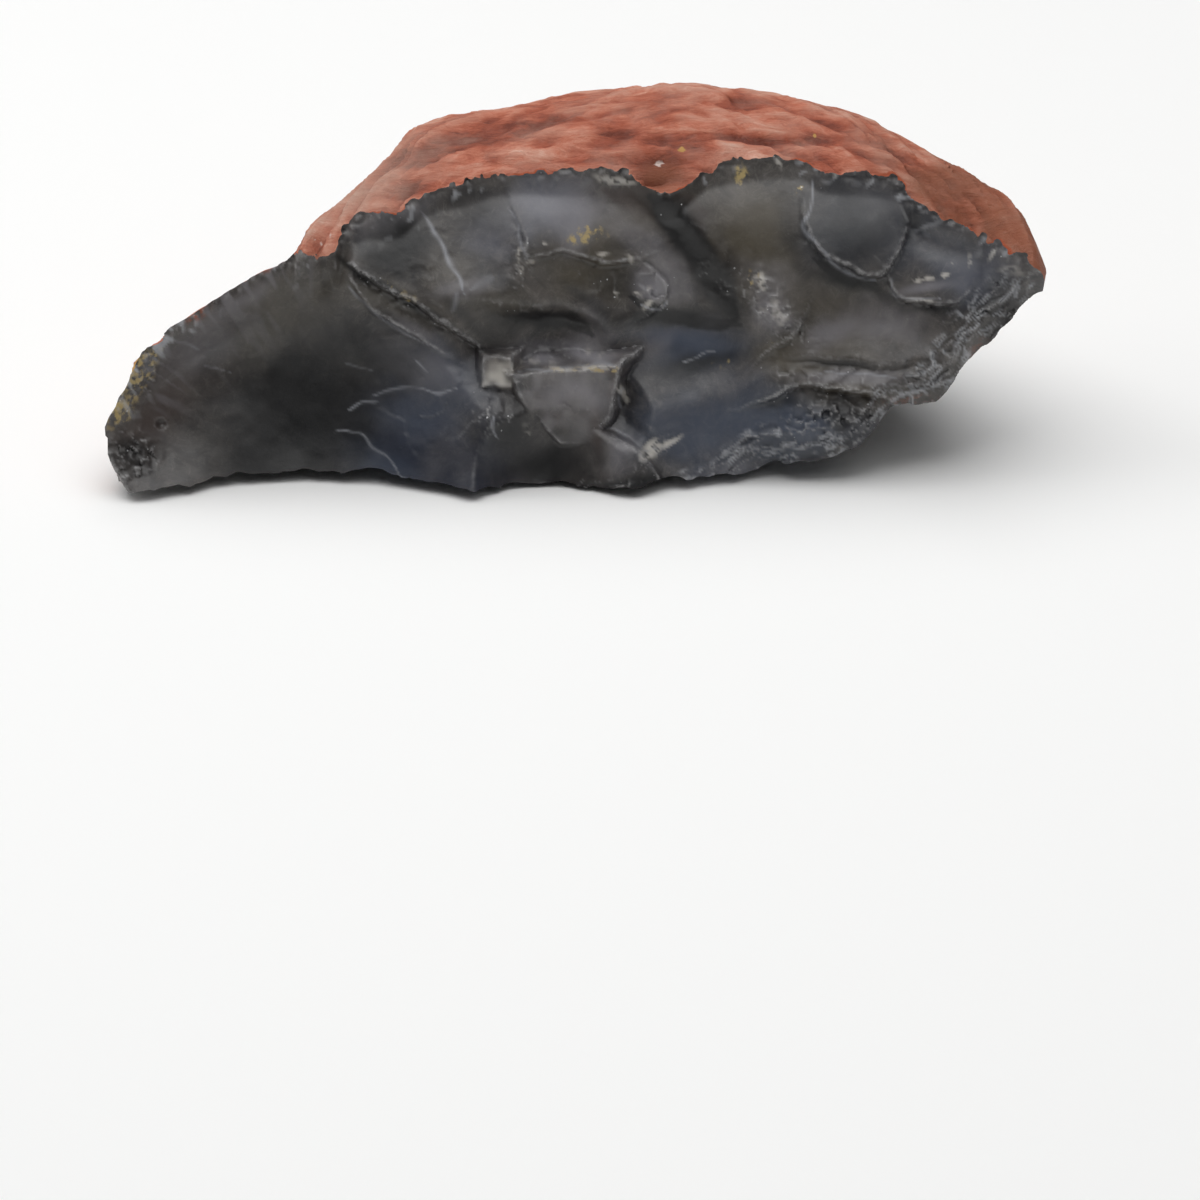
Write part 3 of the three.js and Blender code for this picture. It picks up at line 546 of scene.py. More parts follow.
def break_rim(depth):
    """The face with a ragged rim along the rind, and how near to it, flecked and streaked each point is."""
    stations = np.arange(-HALF_LENGTH, HALF_LENGTH, 0.5)
    curve = evenly(np.stack([stations, np.minimum(rind_break(stations), skyline(stations))], 1), 1.5)
    away, along = beside(curve, U, S)
    away, along = np.abs(away), along * (len(curve) - 1) * 1.5
    patchy = 0.2 + 0.8 * smoothstep(noise(along / 5, 0, 65), -0.3, 0.5)
    near = np.exp(-((away / (0.9 + 0.5 * noise(along / 4, 0, 67))) ** 2))
    chips = facets((along + 0.4 * noise(U, S, 68)) / 1.15, (away + 0.4 * noise(U, S, 69)) / 1.3, 61)
    strokes = noise((along + away * 0.7) / 0.9, away / 1.6, 62)
    strokes = strokes + 0.5 * noise(along / 0.6, away / 0.8, 64)
    flecks = smoothstep(strokes, 0.45, 0.85) * np.exp(-((away / 2.4) ** 2)) * patchy
    jagged = noise(along / 0.9, away / 0.9, 55) + 0.6 * noise(along / 0.45, away / 0.6, 57)
    depth = depth + 0.3 * patchy * near * chips - 0.08 * flecks
    depth = depth + 0.4 * jagged * np.exp(-((away / 0.8) ** 2))
    streaks = noise(along / 0.8, away / 5, 131) + 0.3 * noise(along / 0.5, away / 1.6, 133)
    streaks = smoothstep(streaks, 0.1, 0.8)
    streaks = streaks * np.exp(-((away / 7) ** 2)) * (1 - smoothstep(U, -36, -28))
    return depth, near, flecks, streaks


def crumble_low_edge(depth):
    """The face with its low edge bevelled and split into plates, where that is, and the plates' edges."""
    curve = evenly(np.array([(u, low_edge(u)) for u in np.arange(12.6, 57, 0.3)]), 1)
    away, along = beside(curve, U, S)
    away, along = np.abs(away), along * (len(curve) - 1)
    wide = 2.4 + noise(along / 4, 0, 71)
    wide = wide + 1.8 * smoothstep(U, 14, 17) * (1 - smoothstep(U, 24, 27))
    wide = wide + 3.6 * smoothstep(U, 38, 43) * (1 - smoothstep(U, 50, 54))
    crumb = 1 - smoothstep(away + 0.8 * noise(U / 1.6, S / 1.6, 73), wide * 0.7, wide)
    bevel = np.maximum(0, BEVEL_WIDTH - (S - low_edge(U))) * smoothstep(U, 12, 20)
    depth = depth + bevel * BEVEL_SLOPE * (1 + 0.4 * noise(U / 2.4, S / 2.4, 11))
    x, y = along / 3 + 0.5 * noise(U / 2, S / 2, 79), away / 0.8 + noise(along / 5, away / 2, 75)
    plates = facets(x, y, 78)
    x, y = along / 1.4 + 0.9 * noise(U / 1.7, S / 1.7, 77), away / 0.6 + 0.6 * noise(U / 1.3, S, 85)
    plates = plates + 0.5 * facets(x, y, 83)
    edges = crumb * smoothstep(np.hypot(*np.gradient(plates)), 0.16, 0.36)
    edges = edges * smoothstep(noise(along / 2, away / 1.2, 76), -0.5, 0.2)
    return depth + 0.4 * crumb * plates, crumb, edges


def face_depth():
    """The depth of the broken face on the grid, and marks on it that its colours depend on."""
    depth, broken, (tooth, square) = main_forms()
    depth = meet_the_rind(chip(depth))
    depth, near_rind, flecks, streaks = break_rim(depth)
    depth = depth + 0.5 * (1 - smoothstep(np.hypot(U - PIT[0], S - PIT[1]), 0.25, 0.8))
    depth, crumb, plate_edges = crumble_low_edge(depth)
    chipped = np.clip(sum(patch(*place) for *place, size, deep in CHIPPED if deep > SPARKLING_FROM), 0, 1)
    marks = {
        "crumb": crumb,
        "fleck": np.maximum(flecks, 0.8 * plate_edges),
        "chipped": np.maximum.reduce([chipped, 0.4 * near_rind, broken]),
        "streak": streaks,
        "tooth": tooth,
        "square": square,
    }
    return depth, marks


face, marks = face_depth()


# Meshes.


def stand_up(u, s, depth):
    """Points of the face's frame, in the stone's own frame."""
    y = s * math.sin(LEAN) + depth * math.cos(LEAN)
    z = s * math.cos(LEAN) - depth * math.sin(LEAN)
    return np.stack([u, y, z], -1)


def lie_down(points):
    """Points of the stone's own frame as (u, s, depth)."""
    x, y, z = points.T
    s = y * math.sin(LEAN) + z * math.cos(LEAN)
    depth = y * math.cos(LEAN) - z * math.sin(LEAN)
    return x, s, depth


def mesh_object(name, points, faces, material):
    """A mesh object from points in millimetres in the stone's own frame."""
    mesh = bpy.data.meshes.new(name)
    placed = (points - np.array([*CENTRE, 0])) * MM
    mesh.from_pydata(placed.tolist(), [], faces)
    mesh.materials.append(material)
    made = bpy.data.objects.new(name, mesh)
    bpy.context.scene.collection.objects.link(made)
    return made


def write(mesh, name, values):
    """Writes one value for each point into the mesh, for the materials to read."""
    mesh.attributes.new(name, "FLOAT", "POINT").data.foreach_set("value", values.astype(np.float32))


def slab(x, y, heights, far):
    """The points and faces of a closed block, from the heights over the grid x by y to the level far."""
    rows, columns = heights.shape
    across, up = np.meshgrid(x, y)
    top = np.stack([across, up, heights], -1).reshape(-1, 3)
    index = np.arange(rows * columns).reshape(rows, columns)
    cells = np.stack([index[:-1, :-1], index[:-1, 1:], index[1:, 1:], index[1:, :-1]], -1).reshape(-1, 4)
    ring = np.concatenate([index[0, :-1], index[:-1, -1], index[-1, :0:-1], index[:0:-1, 0]])
    foot = top[ring].copy()
    foot[:, 2] = far
    low = np.arange(len(ring)) + len(top)
    walls = np.stack([low, np.roll(low, -1), np.roll(ring, -1), ring], -1)
    faces = cells.tolist() + walls.tolist() + [low[::-1].tolist()]
    if far > heights.max():
        faces = [f[::-1] for f in faces]
    return np.concatenate([top, foot]), faces


def rind_relief(u, turn, s, depth):
    """How far the rind stands out: lumps, long low ridges, the narrow hollows between, and a fine grain."""
    behind = smoothstep(depth, 12, 26)
    lumps = (0.5 + 0.8 * behind) * noise(u / 15, s / 12, depth / 12)
    bent = turn + 2 * noise(u / 12, turn / 9, 81) + 0.7 * noise(u / 5, turn / 4, 82)
    ridges = 0.3 * noise(u / 9, bent / 2.6, 83) + 0.2 * noise(u / 3.6, bent / 1.3, 85)
    hollows = 0.42 * smoothstep(noise(u / 5, bent / 1.4, 87), 0.25, 0.8)
    hollows = hollows + 0.14 * smoothstep(noise(u / 2.6, bent / 0.9, 88), 0.3, 0.8)
    front = 1 - smoothstep(depth - crest_depth(u), -0.5, 3)
    for hu, hs, long, wide, tilt, deep in RIND_HOLLOWS:
        hollows = hollows + deep * front * patch(hu, hs, long, wide, tilt, u, s)
    fine = 0.17 * noise(u / 1.7, bent / 1.1, 89) + 0.12 * noise(u / 0.95, turn / 0.9, 91)
    return lumps, ridges, hollows, fine


def nodule_object(material):
    """The nodule before it was broken, with its rind."""
    stations = np.linspace(-HALF_LENGTH, HALF_LENGTH, int(2 * HALF_LENGTH / RIND_STEP))
    angles = np.arange(RIND_TURNS) * 2 * math.pi / RIND_TURNS
    u, angle = np.meshgrid(stations, angles, indexing="ij")
    middle, top, root, crest, front, back = nodule_section(u)
    close = np.sqrt(1 - np.clip((np.abs(u) - HALF_LENGTH) / TIP_ROUND + 1, 0, 0.98) ** 2)
    top, root, front, back = (reach * close for reach in (top, root, front, back))
    s = middle + np.sin(angle) * np.where(np.sin(angle) > 0, top, root)
    depth = crest + np.cos(angle) * np.where(np.cos(angle) > 0, back, front)
    turn = angle * 0.5 * (0.5 * (back + front) + top)
    lumps, ridges, hollows, fine = rind_relief(u, turn, s, depth)
    tips = smoothstep(HALF_LENGTH - np.abs(u), 0, 5)
    ray = np.stack([u, s, depth], -1) - np.array(HEART)
    ray /= np.linalg.norm(ray, axis=-1, keepdims=True)
    crumbly = 0.6 * noise(u / 1.3, s / 1.3, 95) * (1 - smoothstep(u, -50, -44))
    relief = lumps + crumbly + (ridges + fine - hollows) * (0.15 + 0.85 * tips)
    u, s, depth = np.moveaxis(np.stack([u, s, depth], -1) + ray * relief[..., None], -1, 0)
    points = stand_up(u, s, depth).reshape(-1, 3)
    rings, turns = u.shape
    index = np.arange(rings * turns).reshape(rings, turns)
    beyond = np.roll(index, -1, axis=1)
    cells = np.stack([index[:-1], index[1:], beyond[1:], beyond[:-1]], -1).reshape(-1, 4)
    faces = cells.tolist() + [index[0].tolist(), index[-1, ::-1].tolist()]
    made = mesh_object("nodule", points, faces, material)
    for name, values in (("ridge", ridges), ("hollow", hollows)):
        write(made.data, name, values.ravel())
    return made


def underside_height(x, y):
    """The height of the underside at (x, y), below zero where it is cut flat."""
    deeper = smoothstep(y, DEEP_FROM, DEEP_TO)
    edge = under_front(x) + (under_deep(x) - under_front(x)) * deeper + under_rise(x) * y
    away = ((x - SPOT[0]) / SPOT_HALF[0]) ** 2 + ((y - SPOT[1]) / SPOT_HALF[1]) ** 2
    around = np.minimum(SPOT_LIFT, SPOT_RISE * (away - 1))
    height = np.maximum(np.maximum(edge, around), (y - BACK_BREAK_FROM) * BACK_BREAK_SLOPE)
    rough = 0.9 * noise(x / 8, y / 8, 21) + 0.5 * noise(x / 3.6, y / 3.6, 23)
    fine = 0.45 * np.abs(layered(x / 3, y / 2.2, 27)) + 0.25 * noise(x / 1.4, y / 1.4, 29)
    return height + (rough + fine) * smoothstep(height, -0.3, 1.2)


def cut(target, waste):
    """Takes the waste away from the target, and keeps each side's material."""
    step = target.modifiers.new("cut", "BOOLEAN")
    step.operation = "DIFFERENCE"
    step.solver = "MANIFOLD"
    step.material_mode = "TRANSFER"
    step.object = waste
    bpy.context.view_layer.update()
    shown = target.evaluated_get(bpy.context.evaluated_depsgraph_get())
    mesh = bpy.data.meshes.new_from_object(shown)
    target.modifiers.clear()
    target.data = mesh
    bpy.data.objects.remove(waste)


def drop_specks(target):
    """Takes away the specks that the cuts leave loose beside the stone."""
    work = bmesh.new()
    work.from_mesh(target.data)
    waiting = set(work.verts)
    pieces = []
    while waiting:
        piece = [waiting.pop()]
        for vertex in piece:  # grows while it is read
            for edge in vertex.link_edges:
                other = edge.other_vert(vertex)
                if other in waiting:
                    waiting.remove(other)
                    piece.append(other)
        pieces.append(piece)
    pieces.sort(key=len)
    for speck in pieces[:-1]:
        bmesh.ops.delete(work, geom=speck, context="VERTS")
    work.to_mesh(target.data)
    work.free()


def face_waste(material):
    """What was in front of the broken face."""
    points, faces = slab(grid_u, grid_s, -face, 60)
    u, s, height = points.T
    return mesh_object("face_waste", stand_up(u, s, -height), faces, material)


def under_waste(material):
    """What was below the underside and the flat spot."""
    x = np.arange(-HALF_LENGTH - 3, HALF_LENGTH + 3, UNDER_STEP)
    y = np.arange(-20, 70, UNDER_STEP)
    heights = np.maximum(0, underside_height(*np.meshgrid(x, y)))
    return mesh_object("under_waste", *slab(x, y, heights, -60), material)


def sample(values, u, s):
    """The grid's values read at points between its own."""
    a = np.clip((u - grid_u[0]) / FACE_STEP, 0, len(grid_u) - 1.001)
    b = np.clip((s - grid_s[0]) / FACE_STEP, 0, len(grid_s) - 1.001)
    i, j = a.astype(int), b.astype(int)
    a, b = a - i, b - j
    low = values[j, i] * (1 - a) + values[j, i + 1] * a
    high = values[j + 1, i] * (1 - a) + values[j + 1, i + 1] * a
    return low * (1 - b) + high * b


def tint_masks():
    """How strongly each cloud's kind shows over the face."""
    wu = U + 1.1 * noise(U / 3.2, S / 3.2, 101) + 0.4 * noise(U / 1.1, S / 1.1, 103)
    ws = S + 1.1 * noise(U / 3.2, S / 3.2, 105) + 0.4 * noise(U / 1.1, S / 1.1, 107)
    masks = {}
    for kind, clouds in CLOUDS.items():
        mask = np.zeros(U.shape)
        for u, s, long, wide, turn, strength in clouds:
            spread = min(1, min(long, wide) / 2.4)  # small clouds keep their shape
            cloud = strength * patch(u, s, long, wide, turn, U + (wu - U) * spread, S + (ws - S) * spread)
            mask = 1 - (1 - mask) * (1 - np.clip(cloud, 0, 1))
        masks[kind] = mask
    for kind, line, width, strength in BANDS:
        distance, share = beside(spline(line), (U + wu) / 2, (S + ws) / 2)
        taper = 0.3 + 0.7 * smoothstep(np.minimum(share, 1 - share), 0, 0.25)
        band = strength * (1 - smoothstep(np.abs(distance) / (width * taper), 0.7, 1.3))
        masks[kind] = 1 - (1 - masks[kind]) * (1 - band)
    chalk = 0.85 * masks["chalk"] * smoothstep(facets(U / 0.8, S / 0.7, 141), -0.6, -0.1)
    masks["chalk"] = chalk * smoothstep(chalk + 0.2 * noise(U / 0.8, S / 0.7, 109), 0.12, 0.4)
    gold = masks["gold"]
    flecked = smoothstep(gold + 0.5 * noise(U / 0.5, S / 0.9, 110), 0.3, 0.9)
    masks["gold"] = flecked * smoothstep(gold, 0.1, 0.4)
    return masks


def crack_mask():
    """The pale lines of the healed cracks."""
    mask = np.zeros(U.shape)
    wu, ws = U + 0.25 * noise(U / 1.6, S / 1.6, 111), S + 0.25 * noise(U / 1.6, S / 1.6, 113)
    for line, width, strength in CRACKS:
        distance, share = beside(spline(line), wu, ws)
        taper = 0.15 + np.minimum(1, 5 * np.minimum(share, 1 - share))
        taper = taper * (0.65 + 0.3 * noise(U / 1.6, S / 1.6, 115))
        shown = strength * (0.75 + 0.35 * noise(U / 1.1, S / 1.1, 117))
        mask = np.maximum(mask, shown * np.exp(-((distance / (0.85 * width * taper)) ** 2)))
    return mask


def points_of(mesh):
    """The mesh's points as (u, s, depth) in millimetres."""
    points = np.zeros(len(mesh.vertices) * 3)
    mesh.vertices.foreach_get("co", points)
    return lie_down(points.reshape(-1, 3) / MM + np.array([*CENTRE, 0]))


def border_wear(mesh):
    """1 for each point on the line where two finishes meet, fading out over half a millimetre."""
    border = KDTree(len(mesh.vertices))
    kinds = np.full(len(mesh.vertices), -1)
    for polygon in mesh.polygons:
        for v in polygon.vertices:
            if kinds[v] not in (-1, polygon.material_index):
                border.insert(mesh.vertices[v].co, v)
            kinds[v] = polygon.material_index
    border.balance()
    return np.array([math.exp(-border.find(v.co)[2] / (0.5 * MM)) for v in mesh.vertices])


def paint(stone):
    """Writes what each point's finish depends on into the stone's mesh."""
    mesh = stone.data
    u, s, depth = points_of(mesh)
    marked = {name: sample(values, u, s) for name, values in marks.items()}
    layers = {kind: sample(mask, u, s) for kind, mask in tint_masks().items()}
    layers["crack"] = sample(crack_mask(), u, s)
    layers["fleck"] = marked["fleck"]
    layers["chipped"] = marked["chipped"]
    proud = blur(face, 1.2) - face
    # Convex ridges are painted paler: a painted highlight where the face stands out.
    layers["ridge_highlight"] = np.clip(sample(proud, u, s) / 0.1 - 0.4, 0, 1)
    # Concave creases are painted darker: painted shade where the face sinks in.
    layers["crease_shade"] = np.clip(sample(-proud, u, s) / 0.14, 0, 1)
    # The crumbled edge is darker, the left lobe has pale streaks, and the two blocks are milky and chalky.
    layers["smoke_and_shadow"] = np.maximum(layers["smoke_and_shadow"], 0.3 * marked["crumb"])
    milky_tooth = 0.5 * marked["tooth"] * (0.8 + 0.5 * noise(u / 2.4, s / 2, 127))
    layers["milk_and_highlight"] = np.maximum(layers["milk_and_highlight"], np.maximum(0.4 * marked["streak"], milky_tooth))
    layers["chalk"] = np.maximum(layers["chalk"], 0.05 * marked["tooth"])
    chalky_square = marked["square"] * (0.9 + 0.2 * noise(u / 0.9, s / 0.9, 125))
    layers["chalk"] = np.maximum(layers["chalk"], chalky_square)
    front = 1 - smoothstep(depth - crest_depth(u), 0, 4)
    for kind in ("chalk", "gold"):
        layers[kind] = layers[kind] * front
    # The rind is dusty at the left shoulder, and browner at its tongue and towards the right.
    layers["dusty"] = patch(-25, 39, 9, 4, 36, u, s)
    umber = 1.4 * patch(10.8, 39.6, 3.4, 2.4, 0, u, s) + 1.5 * patch(50, 33, 12, 4, -36, u, s)
    umber = umber + 0.5 * smoothstep(u, 30, 46)
    layers["umber"] = np.clip(umber * (0.7 + 0.5 * noise(u / 3, s / 3, 121)), 0, 1)
    layers["border"] = border_wear(mesh) * np.clip(0.3 + 0.9 * noise(u / 3.4, s / 3.4, 123), 0, 1)
    for name, values in layers.items():
        write(mesh, name, values)


# Materials.

NOISE = "ShaderNodeTexNoise"
RANGE = "ShaderNodeMapRange"
MATH = "ShaderNodeMath"
MIX = "ShaderNodeMix"
BUMP = "ShaderNodeBump"
VALUE, FROM_LOW, FROM_HIGH, TO_LOW, TO_HIGH = range(5)  # the inputs of a range node
FACTOR, FIRST, SECOND, RESULT = 0, 6, 7, 2  # the colour sockets of a mix node


def linear(code):
    """An sRGB hex colour as linear red, green, blue and alpha."""
    parts = [int(code[i : i + 2], 16) / 255 for i in (1, 3, 5)]
    return [c / 12.92 if c <= 0.04045 else ((c + 0.055) / 1.055) ** 2.4 for c in parts] + [1.0]


def add(tree, kind, sockets=None, **settings):
    """Adds a node with its settings. Sockets gives each input a value or another node's output."""
    made = tree.nodes.new(kind)
    for name, value in settings.items():
        setattr(made, name, value)
    for key, value in (sockets or {}).items():
        if isinstance(value, bpy.types.NodeSocket):
            tree.links.new(value, made.inputs[key])
        else:
            made.inputs[key].default_value = value
    return made


def empty_material(name):
    """A material with only its shader and its output."""
    material = bpy.data.materials.new(name)
    material.use_nodes = True
    tree = material.node_tree
    tree.nodes.clear()
    shader = add(tree, "ShaderNodeBsdfPrincipled")
    add(tree, "ShaderNodeOutputMaterial", {"Surface": shader.outputs["BSDF"]})
    return material, tree, shader


# Chalcedony is microscopic quartz that breaks like glass. To the eye it is nearly black with smoky, milky
# and bluish clouds, and it shines softly, as if wet, with pale edges where it is chipped.
BODY_COLOUR = "#211f21"
# What lies on the body colour, from the bottom up, and the most that each kind covers.
CLOUD_COLOURS = {
    "navy": ("#181f30", 0.85),
    "slate": ("#465062", 0.8),
    "olive": ("#494234", 0.8),
    "brown": ("#3f3430", 0.8),
    # milk also serves as a painted highlight on the tooth
    "milk_and_highlight": ("#8c8a90", 0.8),
    # smoke also serves as painted shadow
    "smoke_and_shadow": ("#08090b", 0.95),
    "chalk": ("#d8d3ca", 0.95),
    "gold": ("#b09a62", 0.8),
    "rust": ("#8c4a30", 0.85),
}
GRITTY = ("gold", "rust")  # these lie on the stone in grains
GLASSY = 0.36  # the roughness of the shining break
GRAINY = 0.5  # and of the duller underside


def chalcedony(name, rough):
    """The broken stone. Rough says how dull the break is."""
    material, tree, shader = empty_material(name)
    where = {"Vector": add(tree, "ShaderNodeTexCoord").outputs["Object"]}
    names = (*CLOUD_COLOURS, "crack", "fleck", "chipped", "ridge_highlight", "crease_shade")
    read = {k: add(tree, "ShaderNodeAttribute", attribute_name=k).outputs["Fac"] for k in names}
    # Haze about 6 mm across and finer veils in it, as chalcedony has.
    haze = {"Scale": 1 / (6 * MM), "Detail": 8, "Roughness": 0.66, "Distortion": 0.8}
    haze = add(tree, NOISE, {**where, **haze}).outputs["Fac"]
    haze = add(tree, RANGE, {VALUE: haze, FROM_LOW: 0.32, FROM_HIGH: 0.68})
    veil = {"Scale": 1 / (1.6 * MM), "Detail": 9, "Roughness": 0.8, "Distortion": 1}
    veil = add(tree, NOISE, {**where, **veil}).outputs["Fac"]
    veil = add(tree, RANGE, {VALUE: veil, FROM_LOW: 0.5, FROM_HIGH: 0.7, TO_LOW: 0, TO_HIGH: 0.36})
    covers = [(haze.outputs[0], "#5f5a56"), (veil.outputs[0], "#8b867f")]
    # Real grains here are under 0.1 mm. They are drawn at 0.8 mm, so that they show.
    grains = add(tree, NOISE, {**where, "Scale": 1 / (0.8 * MM), "Detail": 3}).outputs["Fac"]
    grit = add(tree, RANGE, {VALUE: grains, FROM_LOW: 0.46, FROM_HIGH: 0.6})
    for kind, (code, most) in CLOUD_COLOURS.items():
        share = read[kind]
        if kind in GRITTY:
            share = add(tree, MATH, {0: share, 1: grit.outputs[0]}, operation="MULTIPLY").outputs[0]
        amount = add(tree, MATH, {0: share, 1: most}, operation="MULTIPLY", use_clamp=True)
        covers.append((amount.outputs[0], code))
    # Ridges get a painted highlight, uneven along them. Single glints, smaller than 0.1 mm, are painted as
    # pale specks about 0.2 mm across.
    uneven = add(tree, RANGE, {VALUE: grains, FROM_LOW: 0.4, FROM_HIGH: 0.66, TO_LOW: 0.12, TO_HIGH: 0.6})
    cells = add(tree, "ShaderNodeTexVoronoi", {**where, "Scale": 1 / (0.8 * MM)}, distance="MANHATTAN")
    chance = add(tree, "ShaderNodeSeparateColor", {0: cells.outputs["Color"]})
    size = {0: chance.outputs[1], 1: 0.16, 2: cells.outputs["Distance"]}
    size = add(tree, MATH, size, operation="MULTIPLY_ADD")
    glint = add(tree, RANGE, {VALUE: size.outputs[0], FROM_LOW: 0.28, FROM_HIGH: 0.2})
    lit = add(tree, MATH, {0: chance.outputs[0], 1: 0.82}, operation="GREATER_THAN")
    glint = add(tree, MATH, {0: glint.outputs[0], 1: lit.outputs[0]}, operation="MULTIPLY")
    for share, most, code in (
        # a painted highlight along the ridges
        (read["ridge_highlight"], uneven.outputs[0], "#a3a2a2"),
        (read["crack"], 1, "#989aa0"),
        (read["fleck"], 0.75, "#a6a8ac"),
        (read["chipped"], glint.outputs[0], "#c9c9cb"),
        # painted shade in the creases
        (read["crease_shade"], 0.25, "#101012"),
    ):
        amount = add(tree, MATH, {0: share, 1: most}, operation="MULTIPLY")
        covers.append((amount.outputs[0], code))
    colour = linear(BODY_COLOUR)
    for amount, code in covers:
        sockets = {FACTOR: amount, FIRST: colour, SECOND: linear(code)}
        colour = add(tree, MIX, sockets, data_type="RGBA").outputs[RESULT]
    tree.links.new(colour, shader.inputs["Base Color"])
    shader.inputs["IOR"].default_value = 1.54
    dull = add(tree, NOISE, {**where, "Scale": 1 / (3 * MM), "Detail": 3}).outputs["Fac"]
    dull = {VALUE: dull, FROM_LOW: 0.3, FROM_HIGH: 0.7, TO_LOW: rough, TO_HIGH: rough + 0.14}
    tree.links.new(add(tree, RANGE, dull).outputs[0], shader.inputs["Roughness"])
    # The pores of the break are finer than 0.1 mm, and are drawn at 0.5 mm.
    pores = {"Scale": 1 / (0.5 * MM), "Detail": 4, "Roughness": 0.65}
    pores = add(tree, NOISE, {**where, **pores}).outputs["Fac"]
    waves = add(tree, NOISE, {**where, "Scale": 1 / (2.4 * MM), "Detail": 2}).outputs["Fac"]
    small = add(tree, BUMP, {"Strength": 0.12 + rough * 0.5, "Distance": 0.06 * MM, "Height": pores})
    wide = {"Strength": 0.35, "Distance": 0.12 * MM, "Height": waves, "Normal": small.outputs[0]}
    tree.links.new(add(tree, BUMP, wide).outputs[0], shader.inputs["Normal"])
    return material


# Iron-stained rind is the weathered skin of the nodule, clay and quartz full of iron oxide. To the eye it is
# dull and earthy: brick red, paler on its ridges, dark red in its hollows, with dust and brown stains.
RIND_COLOURS = ((0.16, "#74301a"), (0.34, "#a55136"), (0.48, "#c17257"), (0.6, "#d0917a"), (0.76, "#e4bba8"))
RIND_DUST = "#b89483"
RIND_STAIN = "#874c2f"
# Crisp patches: the fresh orange line along the break, and gold and white droplets.
RIND_PATCHES = {"border": "#aa4e2a", "gold": "#c29450", "chalk": "#d6c2ba"}


def rind(name):
    """The weathered skin, streaked along the stone."""
    material, tree, shader = empty_material(name)
    where = {"Vector": add(tree, "ShaderNodeTexCoord").outputs["Object"]}
    names = ("ridge", "hollow", "umber", "dusty", *RIND_PATCHES)
    read = {k: add(tree, "ShaderNodeAttribute", attribute_name=k).outputs["Fac"] for k in names}
    # Streaks about 2 mm wide and three times as long.
    stretched = add(tree, "ShaderNodeMapping", {**where, "Scale": (0.3, 1, 1)}).outputs[0]
    streaks = {"Scale": 1 / (1.8 * MM), "Detail": 10, "Roughness": 0.76, "Distortion": 0.5}
    streaks = add(tree, NOISE, {"Vector": stretched, **streaks}).outputs["Fac"]
    raised = {VALUE: read["ridge"], FROM_LOW: -0.35, FROM_HIGH: 0.35, TO_LOW: -0.14, TO_HIGH: 0.14}
    sunk = {VALUE: read["hollow"], FROM_LOW: 0, FROM_HIGH: 0.6, TO_LOW: 0, TO_HIGH: -0.3}
    level = streaks
    for change in (raised, sunk):
        change = add(tree, RANGE, change).outputs[0]
        level = add(tree, MATH, {0: level, 1: change}, operation="ADD").outputs[0]
    ramp = add(tree, "ShaderNodeValToRGB", {"Fac": level})
    while len(ramp.color_ramp.elements) < len(RIND_COLOURS):
        ramp.color_ramp.elements.new(0.5)
    for element, (place, code) in zip(ramp.color_ramp.elements, RIND_COLOURS):
        element.position = place
        element.color = linear(code)
    dust = add(tree, NOISE, {**where, "Scale": 1 / (5 * MM), "Detail": 5, "Roughness": 0.6}).outputs["Fac"]
    dust = add(tree, RANGE, {VALUE: dust, FROM_LOW: 0.44, FROM_HIGH: 0.72, TO_LOW: 0, TO_HIGH: 0.42})
    dust = {0: read["dusty"], 1: 0.5, 2: dust.outputs[0]}
    dust = add(tree, MATH, dust, operation="MULTIPLY_ADD", use_clamp=True)
    stain = add(tree, MATH, {0: read["umber"], 1: 0.75}, operation="MULTIPLY", use_clamp=True)
    covers = [(dust.outputs[0], RIND_DUST), (stain.outputs[0], RIND_STAIN)]
    for kind, code in RIND_PATCHES.items():
        ragged = add(tree, MATH, {0: streaks, 1: read[kind]}, operation="ADD").outputs[0]
        crisp = add(tree, RANGE, {VALUE: ragged, FROM_LOW: 0.9, FROM_HIGH: 1.1})
        covers.append((crisp.outputs[0], code))
    colour = ramp.outputs["Color"]
    for amount, code in covers:
        sockets = {FACTOR: amount, FIRST: colour, SECOND: linear(code)}
        colour = add(tree, MIX, sockets, data_type="RGBA").outputs[RESULT]
    tree.links.new(colour, shader.inputs["Base Color"])
    shader.inputs["IOR"].default_value = 1.52
    dull = add(tree, NOISE, {**where, "Scale": 1 / (2 * MM), "Detail": 4}).outputs["Fac"]
    dull = {VALUE: dull, FROM_LOW: 0.3, FROM_HIGH: 0.7, TO_LOW: 0.55, TO_HIGH: 0.78}
    tree.links.new(add(tree, RANGE, dull).outputs[0], shader.inputs["Roughness"])
    # The rind's grain is about 0.3 mm, and is drawn twice as coarse.
    grain = add(tree, NOISE, {**where, "Scale": 1 / (0.6 * MM), "Detail": 5, "Roughness": 0.7}).outputs["Fac"]
    small = add(tree, BUMP, {"Strength": 0.9, "Distance": 0.2 * MM, "Height": grain})
    wide = {"Strength": 1, "Distance": 0.5 * MM, "Height": streaks, "Normal": small.outputs[0]}
    tree.links.new(add(tree, BUMP, wide).outputs[0], shader.inputs["Normal"])
    return material


# The stage.

FLOOR_HALF = 3.0  # metres
VIEW_DISTANCE = 1.2  # metres
VIEW_CENTRE = (0.003, -0.0114, 0.002)  # the point looked at, in metres along u, s and depth


def studio_floor():
    """A plain surface under the stone: matt white paper, which gives the eye only soft shadows."""
    material, _, shader = empty_material("pale_paper")
    shader.inputs["Base Color"].default_value = linear("#f4f4f3")
    shader.inputs["Roughness"].default_value = 0.8
    mesh = bpy.data.meshes.new("floor")
    corners = [(FLOOR_HALF * x, FLOOR_HALF * y, 0) for x, y in ((-1, -1), (1, -1), (1, 1), (-1, 1))]
    mesh.from_pydata(corners, [], [(0, 1, 2, 3)])
    mesh.materials.append(material)
    floor = bpy.data.objects.new("floor", mesh)
    bpy.context.scene.collection.objects.link(floor)


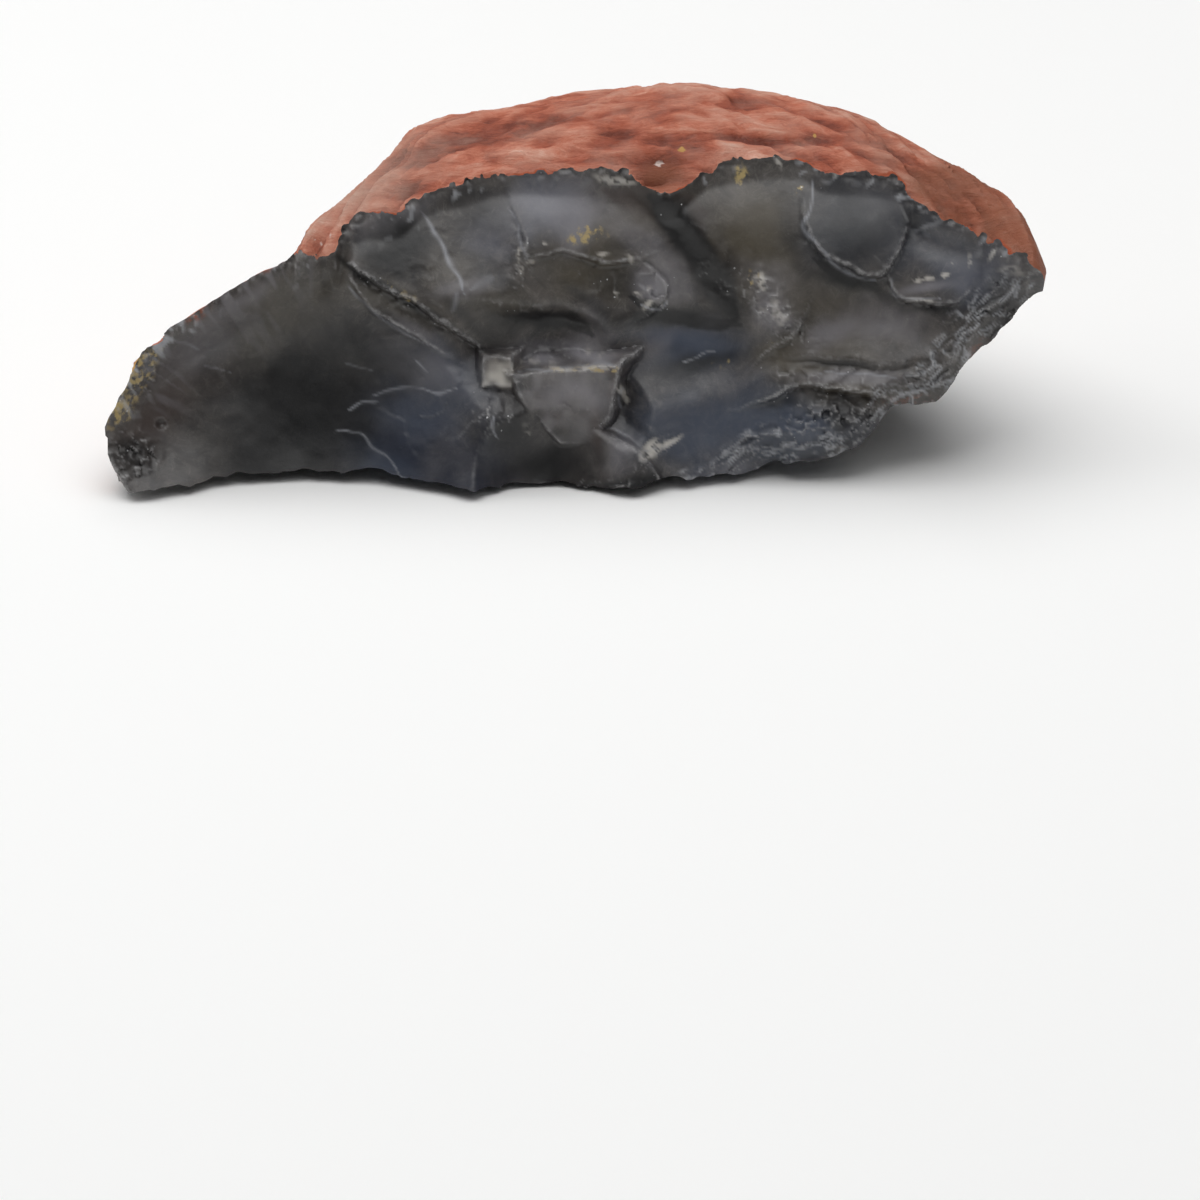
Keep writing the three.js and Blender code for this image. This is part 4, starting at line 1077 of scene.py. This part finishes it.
def agate_stone():
    """The whole stone: the nodule with its broken face, its underside and its flat spot."""
    skin = rind("iron_stained_rind")
    glassy = chalcedony("black_chalcedony", GLASSY)
    broken = chalcedony("rough_chalcedony", GRAINY)
    stone = nodule_object(skin)
    cut(stone, face_waste(glassy))
    cut(stone, under_waste(broken))
    drop_specks(stone)
    stone.name = stone.data.name = "agate_stone"
    stone.data.shade_smooth()
    stone.data.set_sharp_from_angle(angle=math.radians(48))
    paint(stone)
    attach(stone, "root")
    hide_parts("agate")
    return stone


def area_light(name, place, power, size):
    """A square softbox turned to the stone, with its place and side in metres and its power in watts."""
    light = bpy.data.lights.new(name, "AREA")
    light.energy = power
    light.size = size
    lamp = bpy.data.objects.new(name, light)
    lamp.location = place
    aim = Vector((0, 0, 0.02)) - Vector(place)
    lamp.rotation_euler = aim.to_track_quat("-Z", "Y").to_euler()
    bpy.context.scene.collection.objects.link(lamp)


def studio():
    """Plain soft light, from above and in front, with a pale surround."""
    area_light("top_softbox", (-0.08, 0.12, 0.8), 9, 1.2)
    area_light("front_softbox", (0.3, -0.5, 0.9), 1.8, 0.8)
    area_light("side_softbox", (-0.7, 0.1, 0.4), 1.2, 0.5)
    world = bpy.data.worlds.new("pale_surround")
    world.use_nodes = True
    sky = world.node_tree.nodes["Background"]
    sky.inputs["Color"].default_value = linear("#f4f5f7")
    sky.inputs["Strength"].default_value = 0.1
    bpy.context.scene.world = world
    bpy.context.scene.view_settings.view_transform = "Standard"


def camera():
    """The photograph's view: 25 degrees above the horizon, square to the leaning face."""
    lens = bpy.data.cameras.new("camera")
    lens.lens = 300
    lens.sensor_width = 36
    lens.clip_start = 0.01
    view = bpy.data.objects.new("camera", lens)
    into = Vector((0, math.cos(LEAN), -math.sin(LEAN)))
    up = Vector((0, math.sin(LEAN), math.cos(LEAN)))
    across, height, depth = VIEW_CENTRE
    aim = Vector((across, -CENTRE[1] * MM, 0)) + up * height + into * depth
    view.location = aim - into * VIEW_DISTANCE
    view.rotation_euler = into.to_track_quat("-Z", "Y").to_euler()
    bpy.context.scene.collection.objects.link(view)
    bpy.context.scene.camera = view


camera()
studio()
studio_floor()
agate_stone()
